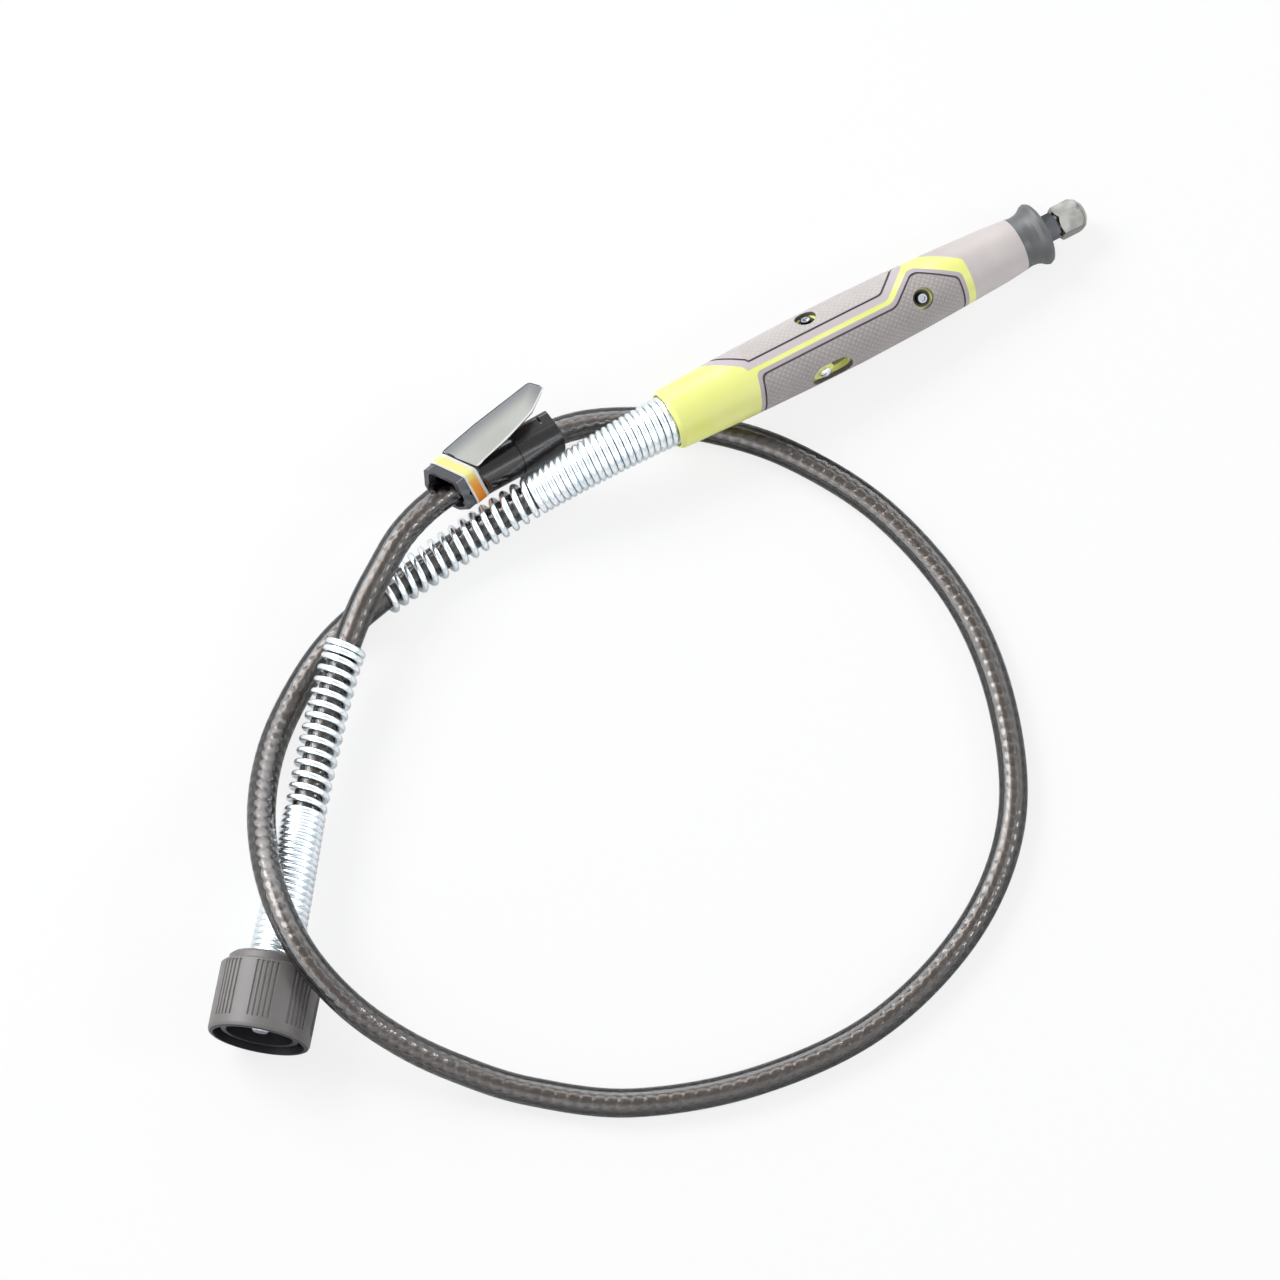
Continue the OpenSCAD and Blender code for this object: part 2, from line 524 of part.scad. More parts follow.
// Rings along a spring: it butts square on its ferrule, then winds away along the route
function spring_rings(table, start, close_turns, open_turns, end_turns, dir) =
    let (n = (close_turns + open_turns + end_turns) * curl_rings,
         w = [for (k = [0:n]) wire_mid(k, table, start + wire_d, close_turns, open_turns, dir)],
         away = w[0][2] * dir)
    concat([wire_ring(w[0][0] - away * (wire_d - eps), w[0][1], away),
            wire_ring(w[0][0], w[0][1], unit(away + unit(w[1][0] - w[0][0])))],
           [for (k = [1:n]) wire_ring(w[k][0], w[k][1], unit(w[min(k + 1, n)][0] - w[k - 1][0]))]);
// Least gap between points of the wire and points of the next turn
function own_gap(rings) = min([for (k = [2:len(rings) - curl_rings - 2], d = [curl_rings - 1:curl_rings + 1])
    each [for (a = rings[k], b = rings[k + d]) norm(a - b)]]);

handle_dir = [cos(handpiece_tilt), 0, -sin(handpiece_tilt)];
handle_rear = [handpiece_x, 0, handpiece_z];
grip_spring_start = norm(route[0] - (handle_rear + handle_dir * ferrule_u));
grip_spring_rings = spring_rings(length_table(0, 10, 1), grip_spring_start, grip_close_turns,
                                 grip_open_turns, 0, 1);
module grip_spring() color([0.82, 0.84, 0.86]) skin_tube(grip_spring_rings);

// --- Coupling nut, square on the end of the route ---
nut_heading = 230;
nut_rear = [-241, -83, 14.5];
module drive_end() {
    translate(nut_rear) rotate([0, 0, nut_heading]) children();
}
lip_l = 2.6;                          // lip of the nut that the ferrule pulls on
flange_u = lip_l + clear_gap;
flange_l = 2;
flange_r = 10.2;
drive_spring_start = norm(route[last] - nut_rear) - flange_u;
drive_spring_rings = spring_rings(length_table(last, last - 10, -1), drive_spring_start,
                                  drive_close_turns, drive_open_turns, drive_end_turns, -1);
module drive_spring() color([0.82, 0.84, 0.86]) skin_tube(drive_spring_rings);
echo(grip_spring_gap = own_gap(grip_spring_rings), drive_spring_gap = own_gap(drive_spring_rings));

// --- Ferrules: a flange for the spring to butt on, and a sleeve on the sheath ---
sleeve_r = (spring_big_r - wire_d / 2) * cos(22.5) - clear_gap;
sheath_bore_r = sheath_d / 2 + clear_gap;
module grip_ferrule() color([0.72, 0.68, 0.5]) handle() difference() {
    union() {
        ring_between(-4, sheath_end_u + 2.4, 0, sleeve_r);
        ring_between(ferrule_u, ferrule_u + ferrule_flange_l, 0, spring_bore_r);
    }
    ring_between(-5, sheath_end_u + 0.1, 0, sheath_bore_r);
    ring_between(0, sheath_end_u + 4, 0, liner_r - liner_t + 0.1);
}

sheath_stop_u = norm(route[last] - nut_rear) + 0.1;
tip_flange_u = sheath_stop_u + 1.1;
tip_flange_l = 3;
bush_l = 3;
bush_r = 4.6;
ferrule_end_r = 6.6;
clip_groove_w = 0.6;                  // groove of the retaining clip
bush_u = tip_flange_u + tip_flange_l + 0.3;
journal_r = tip_d / 2 + 0.5;
journal_end_u = bush_u + bush_l + 0.8;
tip_end_u = nut_l - 2.5;
module drive_ferrule() color([0.72, 0.68, 0.5]) drive_end() difference() {
    union() {
        ring_between(-10, flange_u + 1, 0, sleeve_r);
        ring_between(flange_u, flange_u + flange_l, 0, flange_r);
        ring_between(flange_u, bush_u + bush_l + 1, 0, ferrule_end_r);
    }
    ring_between(-11, sheath_stop_u, 0, sheath_bore_r);
    ring_between(0, sheath_stop_u + 2, 0, liner_r - liner_t + 0.1);
    ring_between(tip_flange_u - 0.3, bush_u + bush_l + 2, 0, bush_r);
    ring_between(bush_u + bush_l, bush_u + bush_l + clip_groove_w, 0, bush_r + 0.4);
}
module drive_bush() color([0.75, 0.5, 0.3]) drive_end()
    ring_between(bush_u, bush_u + bush_l, journal_r + run_gap, bush_r);
module ferrule_clip() color([0.3, 0.3, 0.32]) drive_end() difference() {
    ring_between(bush_u + bush_l, bush_u + bush_l + clip_groove_w, bush_r - 1, bush_r + 0.4);
    translate([bush_u + bush_l - 1, -1, 0]) cube([3, 2, 6]);
}
module drive_tip() color([0.8, 0.81, 0.83]) drive_end() difference() {
    union() {
        ring_between(tip_flange_u, tip_flange_u + tip_flange_l, 0, 4.1);
        ring_between(tip_flange_u + 1, journal_end_u, 0, journal_r);
        ring_between(journal_end_u - 1, tip_end_u - 0.5, 0, tip_d / 2);
        turned([[tip_end_u - 0.5 - eps, 0], [tip_end_u - 0.5 - eps, tip_d / 2], [tip_end_u, tip_d / 2 - 0.5],
                [tip_end_u, 0]]);
    }
    ring_between(tip_flange_u - 1, bush_u, 0, socket_r);
}

group_angle = 360 / groove_groups;
groove_pitch = 5.7;
insert_u = 7.2;                       // face that the insert seats on
module coupling_nut() color([0.36, 0.35, 0.34]) drive_end() difference() {
    turned([[0, spring_bore_r], [0, shoulder_r - 0.8], [0.8, shoulder_r], [shoulder_l, shoulder_r],
            [shoulder_l, nut_r - 0.5], [shoulder_l + 0.5, nut_r], [nut_l - 1, nut_r],
            [nut_l - 0.3, nut_r - 0.3], [nut_l, nut_r - 0.8], [nut_l, nut_r - nut_wall],
            [insert_u, nut_r - nut_wall], [insert_u, flange_r + clear_gap],
            [lip_l, flange_r + clear_gap], [lip_l, spring_bore_r]]);
    for (i = [0:groove_groups - 1], j = [0:grooves_per_group - 1])
        at_roll(shoulder_l + 0.9, i * group_angle + (j - (grooves_per_group - 1) / 2) * groove_pitch, nut_r)
            rotate([0, 90, 0]) cylinder(d = nut_groove_w, h = nut_l - 7, $fn = 16);
}
module nut_insert() color([0.16, 0.16, 0.17]) drive_end() difference() {
    union() {
        ring_between(insert_u, insert_u + 2.2, 0, nut_r - nut_wall);
        ring_between(insert_u, nut_l - 1.6, 0, thread_d / 2 + insert_t);
    }
    ring_between(insert_u - 1, nut_l, 0, thread_d / 2);
}

// --- Hanger clip on the sheath ---
clip_from = [-94, 15.7, 9];
clip_dir = unit([10, 0.75, -2]);
clip_mid = clip_from - clip_dir * 20;
clip_heading = atan2(clip_dir[1], clip_dir[0]);
clip_pitch = asin(clip_dir[2]);
module clip_frame() {
    translate(clip_mid) rotate([0, 0, clip_heading]) rotate([0, -clip_pitch, 0]) children();
}
clip_bore_r = sheath_d / 2 + 0.7;
clip_front_x = 17;
parting_x = 3;                        // seam between the round half and the squared half
// The squared half's section, cut round on the side that faces the handpiece's spring
end_outline = [[-5.8, -5.8], [5.8, -5.8], [5.8, 5.8], [1, clip_r - 0.05], [-3.6, 5.05], [-clip_r + 0.1, 1]];
end_corner_r = 1.4;

// Loop behind the barrel: it follows the sheath's bend, and both its ends are cut on a slant
loop_x = clip_front_x - clip_l - 5;
loop_yaw = 10;
loop_slant = 32.6;
loop_rear = -1.7;                     // ends of the loop, square to the slant
loop_front = 5.9;
loop_outline = [[-7.2, -2.8], [-4.4, -6.2], [3.6, -6.2], [6.3, -1], [8, 8.4], [-1.5, 8.4]];
loop_corner_r = 1.2;
band_gap = 0.85;                      // bare rim in front of the band and behind the tongue's root
band_t = 0.25;
tongue_root = loop_front - band_gap;
tongue_z = 7.7;
tongue_outline = [[0, 8.6], [4.4, -1.4], [10, 0.3], [18.6, 1.8], [tongue_l - 7, 4.6], [tongue_l, 9],
                  [tongue_l - 3, 12.6], [13, 10.6]];
tongue_corner_r = 1.5;

// Slice between two slanted planes
module slanted_slab(s0, s1) {
    translate([loop_x, 0, 0]) rotate([0, 0, loop_slant]) translate([s0, -50, -50]) cube([s1 - s0, 100, 100]);
}
module loop_prism(s0, s1, d) {
    intersection() {
        translate([loop_x, 0, 0]) rotate([0, 0, loop_yaw]) rotate([90, 0, 90])
            linear_extrude(5 * loop_front, center = true)
                polygon(rounded(inset(loop_outline, d), loop_corner_r));
        slanted_slab(s0, s1);
    }
}
module clip_tongue() {
    translate([loop_x, 0, tongue_z]) rotate([0, -tongue_tilt, 0]) translate([0, 0, -clip_t])
        linear_extrude(clip_t) polygon(rounded(tongue_outline, tongue_corner_r));
}
module clip_barrel() {
    ring_between(2 * loop_x, clip_front_x, 0, clip_r);
    translate([parting_x + 0.4, 0, 0]) rotate([90, 0, 90])
        linear_extrude(clip_front_x - parting_x - 0.4) polygon(rounded(end_outline, end_corner_r));
}
module clip_sleeve() color([0.14, 0.14, 0.16]) clip_frame() difference() {
    union() {
        loop_prism(loop_rear, loop_front, 0);
        intersection() {
            union() {
                clip_barrel();
                clip_tongue();
            }
            slanted_slab(tongue_root, 2 * clip_l);
        }
    }
    ring_between(-2 * clip_l, 2 * clip_l, 0, clip_bore_r);
    loop_prism(loop_rear - 1, loop_front - clip_t, clip_t);
    ring_between(parting_x, parting_x + 0.4, clip_r - 0.3, clip_r + 1);
    ring_between(clip_front_x - 3.8, clip_front_x - 3.1, clip_r + 0.35, clip_r + 1.4);
}
module clip_band() color([0.98, 0.75, 0.15]) clip_frame() difference() {
    loop_prism(loop_rear + 2.6, tongue_root - 0.05, -band_t);
    loop_prism(loop_rear, loop_front, 0);
}

handle_core();
upper_grip();
lower_grip();
nose_barrel();
nose_ring();
grip_screws();
bearing_barrel();
front_bearing_outer();
front_bearing_inner();
front_bearing_balls();
front_bearing_cage();
rear_bearing_outer();
rear_bearing_inner();
rear_bearing_balls();
rear_bearing_cage();
bearing_spacer();
bearing_clip();
spindle();
collet();
collet_nut();
lock_slider();
lock_knob();
grip_ferrule();
grip_spring();
sheath();
sheath_liner();
drive_core();
clip_sleeve();
clip_band();
drive_spring();
drive_ferrule();
drive_bush();
ferrule_clip();
coupling_nut();
nut_insert();
drive_tip();
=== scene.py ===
# Rotary tool with a flexible shaft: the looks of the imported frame. Metres; the handpiece lies along X.
import math
import bmesh
import bpy
import numpy as np
from mathutils import Matrix, Vector


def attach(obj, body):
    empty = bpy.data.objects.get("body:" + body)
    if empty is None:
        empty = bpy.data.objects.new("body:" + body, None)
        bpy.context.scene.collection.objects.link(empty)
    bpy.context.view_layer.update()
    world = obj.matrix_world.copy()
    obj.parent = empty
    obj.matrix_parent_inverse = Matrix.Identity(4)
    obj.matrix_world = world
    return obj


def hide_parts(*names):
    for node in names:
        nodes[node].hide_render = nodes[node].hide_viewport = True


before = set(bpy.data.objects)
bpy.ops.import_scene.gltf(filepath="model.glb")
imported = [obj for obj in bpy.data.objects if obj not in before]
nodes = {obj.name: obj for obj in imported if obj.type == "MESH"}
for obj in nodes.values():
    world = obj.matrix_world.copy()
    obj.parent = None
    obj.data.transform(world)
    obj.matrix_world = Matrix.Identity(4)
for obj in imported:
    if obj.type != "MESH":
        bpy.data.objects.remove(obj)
scene = bpy.context.scene
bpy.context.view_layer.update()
mm = 0.001
print("frame loaded:", len(nodes), "CAD nodes")

cameraSetup = {
    "aim": (-0.1043, -0.0476, 0.0),   # point on the table in the middle of the view
    "azimuth": -29.6,
    "elevation": 72.2,
    "distance": 2.016,
    "lens": 200.0,                    # a long lens: nearly no perspective
    "sensor": 36.0,
}


def placeCamera(c):
    # back = unit vector from the aim to the camera; right lies level; up completes the frame
    a, e = math.radians(c["azimuth"]), math.radians(c["elevation"])
    back = np.array([math.sin(a) * math.cos(e), -math.cos(a) * math.cos(e), math.sin(e)])
    right = np.array([math.cos(a), math.sin(a), 0.0])
    data = bpy.data.cameras.new("camera")
    data.lens, data.sensor_width = c["lens"], c["sensor"]
    data.clip_start, data.clip_end = 0.05, 50
    camera = bpy.data.objects.new("camera", data)
    camera.matrix_world = standing(right, back, np.array(c["aim"]) + back * c["distance"])
    scene.collection.objects.link(camera)
    scene.camera = camera


def standing(right, back, place):
    # matrix of something that looks against back, with the right of its view along right
    rows = np.eye(4)
    rows[:3, 0], rows[:3, 1], rows[:3, 2], rows[:3, 3] = right, np.cross(back, right), back, place
    return Matrix(rows.tolist())


placeCamera(cameraSetup)
print("camera placed")


def meshPiece(name, points, faces, body, uv=None):
    # points (n, 3) and quads (m, 4) go into one smooth mesh; uv is (m, 4, 2)
    points = np.asarray(points, float)
    a, b, c, d = (points[faces[:, i]] for i in range(4))
    volume = np.einsum("ij,ij->i", a, np.cross(b, c) + np.cross(c, d)).sum()
    if volume < 0:                                # the faces point inwards: turn them
        faces = faces[:, ::-1]
        uv = None if uv is None else uv[:, ::-1]
    mesh = bpy.data.meshes.new(name)
    mesh.from_pydata(points.tolist(), [], faces.tolist())
    if uv is not None:
        layer = mesh.uv_layers.new(name="along")
        layer.uv.foreach_set("vector", np.asarray(uv, np.float32).ravel())
    mesh.polygons.foreach_set("use_smooth", np.ones(len(mesh.polygons), bool))
    mesh.update()
    piece = bpy.data.objects.new(name, mesh)
    scene.collection.objects.link(piece)
    weld(piece)
    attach(piece, body)
    return piece


def weld(piece, gap=1e-7):
    # joins the points that lie on each other at poles and at the seam between outside and bore
    work = bmesh.new()
    work.from_mesh(piece.data)
    bmesh.ops.remove_doubles(work, verts=work.verts, dist=gap)
    bmesh.ops.dissolve_degenerate(work, edges=work.edges, dist=gap)
    work.to_mesh(piece.data)
    work.free()


def gridFaces(m, n):
    # quads between m rings of n points each, closed round the ring
    i, j = np.meshgrid(np.arange(m - 1), np.arange(n), indexing="ij")
    k = (j + 1) % n
    return np.stack([i * n + j, i * n + k, (i + 1) * n + k, (i + 1) * n + j], -1).reshape(-1, 4)


def gridUv(along, n):
    # u is the length along in metres, v goes from 0 to 1 round the ring, so a seam's corner gets 1
    m = len(along)
    i, j = np.meshgrid(np.arange(m - 1), np.arange(n), indexing="ij")
    corners = [(i, j), (i, j + 1), (i + 1, j + 1), (i + 1, j)]
    return np.stack([np.stack([along[a], b / n], -1) for a, b in corners], 2).reshape(-1, 4, 2)


def solidTube(name, rings, along, body):
    # rings (m, n, 3), each joined to the next, with a pole in the middle of the first and of the last
    m, n = rings.shape[:2]
    start, end = rings[0].mean(0), rings[-1].mean(0)
    full = np.concatenate([np.repeat(start[None, None], n, 1), rings, np.repeat(end[None, None], n, 1)])
    along = np.concatenate([[along[0]], along, [along[-1]]])
    return meshPiece(name, full.reshape(-1, 3), gridFaces(m + 2, n), body, gridUv(along, n))


def hollowTube(name, outer, inner, along, body):
    # out along the outer rings, over the end, back along the inner rings and over to the start
    full = np.concatenate([outer, inner[::-1], outer[:1]])
    run = np.concatenate([along, along[::-1], along[:1]])
    return meshPiece(name, full.reshape(-1, 3), gridFaces(len(full), outer.shape[1]), body,
                     gridUv(run, outer.shape[1]))


def unit(v):
    return v / np.linalg.norm(v, axis=-1, keepdims=True)


lay = 4.1                             # height of the casing's middle where it lies on the table, mm
routePoints = np.array([
    [-61, 0, 18.5], [-73, 0, 19.4], [-86, 0.2, 18.9], [-100, 0.6, 16.4], [-116, 1, 12],
    [-131, 0.7, 8.4], [-146, -0.4, 6.6], [-161, -2, 6.4], [-181, -6.5, 5], [-198, -15.5, 5],
    [-213, -28.5, 9], [-225, -46.5, 18], [-232.5, -67.5, 27.2], [-234.5, -88, 30.2],
    [-230.5, -106, 26.2], [-222, -121, 17.5], [-210.5, -134.5, 9.6], [-196, -148.5, 4.9],
    [-173, -165, lay], [-140, -176.5, lay], [-103, -179, lay], [-67, -168, lay],
    [-41, -147, lay], [-26, -117, lay], [-20.5, -84, lay], [-26, -50, lay], [-40, -22, lay],
    [-57, -3, lay], [-76, 10, 5], [-94, 15.5, 9], [-114, 14, 13], [-134, 12.5, 17],
    [-149, 8, 19], [-161, 1, 18.5], [-172, -6.5, 17], [-187, -20, 15],
    [-206, -41.3, 14.5], [-225, -63.9, 14.5], [-244.2, -86.8, 14.5]]) * mm


def onRoute(t):
    # smooth curve through the points: t counts them, and each span is a cubic with the neighbours' slopes
    p = np.concatenate([[2 * routePoints[0] - routePoints[1]], routePoints,
                        [2 * routePoints[-1] - routePoints[-2]]])
    t = np.clip(np.asarray(t, float), 0, len(routePoints) - 1)
    i = np.minimum(t.astype(int), len(routePoints) - 2)
    u = (t - i)[..., None]
    p0, p1, p2, p3 = p[i], p[i + 1], p[i + 2], p[i + 3]
    return (2 * p1 + (p2 - p0) * u + (2 * p0 - 5 * p1 + 4 * p2 - p3) * u ** 2
            + (3 * p1 - p0 - 3 * p2 + p3) * u ** 3) / 2


denseT = np.linspace(0, len(routePoints) - 1, 6001)
denseS = np.concatenate([[0], np.cumsum(np.linalg.norm(np.diff(onRoute(denseT), axis=0), axis=1))])
routeLength = float(denseS[-1])


def atLength(s):
    # place, direction, level side and upper side of the route, s metres from its start
    t = np.interp(s, denseS, denseT)
    along = unit(onRoute(t + 0.02) - onRoute(t - 0.02))
    side = unit(np.cross(along, [0, 0, 1.0]))
    return onRoute(t), along, side, np.cross(side, along)


def ringsOnRoute(s, radius, n):
    # a circle of n points square to the route at each length in s; radius may change with length and angle
    place, along, side, upper = atLength(s)
    g = np.arange(n) / n * 2 * np.pi
    r = np.broadcast_to(radius(s[:, None], g[None]) if callable(radius) else radius, (len(s), n))
    spoke = np.cos(g)[None, :, None] * side[:, None] + np.sin(g)[None, :, None] * upper[:, None]
    return place[:, None] + r[..., None] * spoke


shaft = {
    "jacketR": 4.05 * mm,
    "jacketBoreR": 2.2 * mm,
    "linerR": 1.75 * mm,
    "linerCrown": 0.38 * mm,     # how far each turn of the flat wire bulges
    "linerPitch": 3.57 * mm,
    "coreR": 1.15 * mm,
    "strands": 6,
    "strandCrown": 0.18 * mm,
    "strandPitch": 17 * mm,
    "linerWall": 0.35 * mm,
    "jacketRings": 440, "jacketSides": 48,
    "turnRings": 10, "linerSides": 18,           # rings to each turn of the liner
    "ropeRings": 500, "ropeSides": 30,
}


def makeShaft(v):
    s = np.linspace(0, routeLength, v["jacketRings"])
    jacket = hollowTube("jacket", ringsOnRoute(s, v["jacketR"], v["jacketSides"]),
                        ringsOnRoute(s, v["jacketBoreR"], v["jacketSides"]), s, "handpiece")
    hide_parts("sheath")

    # each turn is flat on top and falls steeply at both edges: 1 - cos^4, wound once round every pitch
    def turns(length, g):
        return v["linerR"] + v["linerCrown"] * (1 - np.cos(np.pi * length / v["linerPitch"] - g / 2) ** 4)

    fine = np.linspace(0, routeLength, int(routeLength / v["linerPitch"] * v["turnRings"]))
    liner = hollowTube("wound_liner", ringsOnRoute(fine, turns, v["linerSides"]),
                       ringsOnRoute(fine, v["linerR"] - v["linerWall"], v["linerSides"]), fine,
                       "handpiece")
    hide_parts("sheath_liner")

    # round strands laid side by side: a rectified cosine round the core, twisted along it
    def rope(length, g):
        return v["coreR"] + v["strandCrown"] * np.abs(
            np.cos(v["strands"] / 2 * (g - 2 * np.pi * length / v["strandPitch"])))

    t = np.linspace(0, routeLength, v["ropeRings"])
    core = solidTube("drive_rope", ringsOnRoute(t, rope, v["ropeSides"]), t, "handpiece")
    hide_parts("drive_core")
    return jacket, liner, core


jacket, liner, driveRope = makeShaft(shaft)
print("shaft made:", round(routeLength * 1000), "mm of jacket")

gripCoil = {
    "start": 4.63 * mm,          # along the route, where the spring butts on its ferrule
    "backwards": False,
    "wire": 1.9 * mm,
    "bigR": 6.72 * mm,
    "smallR": 5.12 * mm,
    "closeTurns": 24, "closePitch": 1.9 * mm,
    "openTurns": 15, "openPitch": 3.5 * mm,
    "endTurns": 0, "endPitch": 2.1 * mm,
    "perTurn": 30, "wireSides": 12,
}
driveCoil = dict(gripCoil, start=2.07 * mm, backwards=True, openTurns=13, endTurns=2)


def makeCoil(name, v, replaced):
    # the wire's middle turns round the route while it walks by the pitch of the turn it is in
    count = (v["closeTurns"] + v["openTurns"] + v["endTurns"]) * v["perTurn"]
    turn = np.arange(count + 1) / v["perTurn"]
    ended = np.maximum(turn - v["closeTurns"] - v["openTurns"], 0)
    opened = np.maximum(turn - v["closeTurns"] - ended, 0)
    walk = (np.minimum(turn, v["closeTurns"]) * v["closePitch"] + opened * v["openPitch"]
            + ended * v["endPitch"])
    s = v["start"] + v["wire"] / 2 + walk
    sign = -1 if v["backwards"] else 1
    place, along, side, upper = atLength(routeLength - s if v["backwards"] else s)
    r = v["bigR"] + (v["smallR"] - v["bigR"]) * np.minimum(turn / v["closeTurns"], 1)
    g = 2 * np.pi * turn * sign
    out = np.cos(g)[:, None] * side + np.sin(g)[:, None] * upper
    middle = place + r[:, None] * out
    tangent = unit(np.gradient(middle, axis=0))
    out = unit(out - np.einsum("ij,ij->i", out, tangent)[:, None] * tangent)
    axial = np.cross(tangent, out)
    a = np.arange(v["wireSides"]) / v["wireSides"] * 2 * np.pi
    rings = middle[:, None] + v["wire"] / 2 * (np.cos(a)[None, :, None] * out[:, None]
                                              + np.sin(a)[None, :, None] * axial[:, None])
    length = np.concatenate([[0], np.cumsum(np.linalg.norm(np.diff(middle, axis=0), axis=1))])
    coil = solidTube(name, rings, length, "handpiece")
    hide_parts(replaced)
    return coil


gripCoilPiece = makeCoil("grip_coil", gripCoil, "grip_spring")
driveCoilPiece = makeCoil("drive_coil", driveCoil, "drive_spring")
print("springs wound")

handle = {
    "turn": Matrix.Rotation(math.radians(-4.5), 3, "Y"),           # world to handpiece
    "origin": Vector((-68.599 * mm, 0, 19.0898 * mm)),
    "seamRoll": math.radians(-82),
}
nutFrame = {
    "turn": Matrix.Rotation(math.radians(-230), 3, "Z"),
    "origin": Vector((-241 * mm, -83 * mm, 14.5 * mm)),
    # the black mouth face, and the bore behind it painted black as shade: the face, the radius of the bore,
    # and how far in the bore begins
    "faceAt": 22.8 * mm, "boreR": 13.2 * mm, "boreFrom": 7.35 * mm,
    "mouthColour": "#1D1C1F",
}
clip = {
    "from": np.array([-94, 15.7, 9]) * mm,
    "along": unit(np.array([10, 0.75, -2.0])),
    "loopX": -18 * mm,
    "loopSlant": math.radians(32.6),
    "tongueZ": 7.7 * mm,
    "tongueTilt": math.radians(11),
    "filmRise": 0.07 * mm,       # how far the label's film stands on the tongue
    "filmWrap": 0.12 * mm,       # how far it is folded down over the right edge
    "filmInset": 0.25 * mm,
    "filmSunk": 0.05 * mm,       # how deep its underside is pressed into the tongue
    "foldFrom": 7 * mm,          # where along the tongue the fold begins
    "foldReach": 0.06 * mm,      # how far the fold stands out from the edge
    "foldRound": 0.05 * mm,
    "cornerR": 0.6 * mm,
    "filmPoints": 220,
    # outline of the film, seen along the tongue's thickness
    "film": np.array([[0.75, 8.7], [6.85, -0.66], [10, 0.3], [18.6, 1.8], [29, 4.6], [36, 9], [33, 12.6],
                      [13, 10.6]]) * mm,
    # edges that the print follows, in mm
    "leftEdge": [(33, 12.6), (13, 10.6), (0.75, 8.7)],
    "rightEdge": [(6.85, -0.45), (18.6, 1.8), (29, 4.6), (36, 9)],
    "shadeReach": 5 * mm,        # the left edge's darker tone ends here
    "tipFrom": 27 * mm, "tipTo": 35 * mm,        # along the tongue, the tip's tone
    # width of the painted highlight along the right edge; then the darker tone's colour and the highlight's
    # colour
    "margin": 0.38 * mm,
    "wornColour": "#8D8F92", "marginColour": "#F2F1EE",
    # the loop's rim painted a grey highlight, from its front face
    "rimFrom": 0.5 * mm, "rimTo": 1.1 * mm, "rimColour": "#5C5C60",
}
clip["origin"] = clip["from"] - clip["along"] * 20 * mm
clip["heading"] = math.atan2(clip["along"][1], clip["along"][0])
clip["pitch"] = math.asin(clip["along"][2])
clip["turn"] = Matrix.Rotation(clip["pitch"], 3, "Y") @ Matrix.Rotation(-clip["heading"], 3, "Z")


def roundedOutline(p, r, count, steps=6):
    # each corner becomes an arc that touches both its edges; then points are spread evenly along it all
    u1, u2 = unit(np.roll(p, 1, 0) - p), unit(np.roll(p, -1, 0) - p)
    half = np.arccos(np.clip((u1 * u2).sum(1), -1, 1)) / 2
    reach = np.minimum(r, 0.9 * np.tan(half) * 2 * mm)
    middle = p + unit(u1 + u2) * (reach / np.sin(half))[:, None]
    start = p + u1 * (reach / np.tan(half))[:, None] - middle
    end = p + u2 * (reach / np.tan(half))[:, None] - middle
    k = np.linspace(0, 1, steps)[None, :, None]
    arcs = start[:, None] * (1 - k) + end[:, None] * k
    ring = (middle[:, None] + unit(arcs) * reach[:, None, None]).reshape(-1, 2)
    ring = np.concatenate([ring, ring[:1]])
    run = np.concatenate([[0], np.cumsum(np.linalg.norm(np.diff(ring, axis=0), axis=1))])
    at = np.linspace(0, run[-1], count, endpoint=False)
    return np.stack([np.interp(at, run, ring[:, 0]), np.interp(at, run, ring[:, 1])], 1)


def tonguePoints(c, flat, height):
    # from the tongue's own plane to the world: lift by the tilt, then the clip's own turn and place
    x = c["loopX"] + flat[..., 0] * math.cos(c["tongueTilt"]) - height * math.sin(c["tongueTilt"])
    z = c["tongueZ"] + flat[..., 0] * math.sin(c["tongueTilt"]) + height * math.cos(c["tongueTilt"])
    local = np.stack([x, flat[..., 1], z], -1)
    return local @ np.array(c["turn"]) + c["origin"]


def makeLabel(c):
    # rings shrink from the film's edge to its middle above, and again below; a fold hangs on the right edge
    ring = roundedOutline(c["film"], c["cornerR"], c["filmPoints"])
    middle = ring.mean(0)
    tangent = unit(np.roll(ring, -1, 0) - np.roll(ring, 1, 0))
    outward = np.stack([tangent[:, 1], -tangent[:, 0]], 1)
    right = np.clip(-outward[:, 1] * 3 - 0.6, 0, 1) * np.clip((ring[:, 0] - c["foldFrom"]) / mm, 0, 1)
    rim = ring - outward * (c["filmInset"] * (1 - right))[:, None]
    folded = rim + outward * (c["foldReach"] * right)[:, None]
    sunk = c["filmSunk"]
    rows = []
    for share in (0.02, 0.3, 0.6, 0.85, 0.97):
        rows.append(tonguePoints(c, middle + (rim - middle) * share, c["filmRise"]))
    rows.append(tonguePoints(c, folded - outward * c["foldRound"], c["filmRise"] * 0.9))
    rows.append(tonguePoints(c, folded, -0.8 * sunk))
    rows.append(tonguePoints(c, folded, -sunk - c["filmWrap"] * right))
    rows.append(tonguePoints(c, rim - outward * 2 * c["foldRound"], -1.2 * sunk - c["filmWrap"] * right))
    for share in (0.9, 0.5, 0.02):
        rows.append(tonguePoints(c, middle + (rim - middle) * share, -sunk))
    rings = np.stack(rows)
    return solidTube("label_film", rings, np.arange(len(rows)) * mm, "handpiece")


labelPiece = makeLabel(clip)
print("label laid on the clip's tongue")


def linear(hexText, alpha=1.0):
    c = np.array([int(hexText[i:i + 2], 16) for i in (1, 3, 5)]) / 255
    c = np.where(c <= 0.04045, c / 12.92, ((c + 0.055) / 1.055) ** 2.4)
    return (*c.tolist(), alpha)


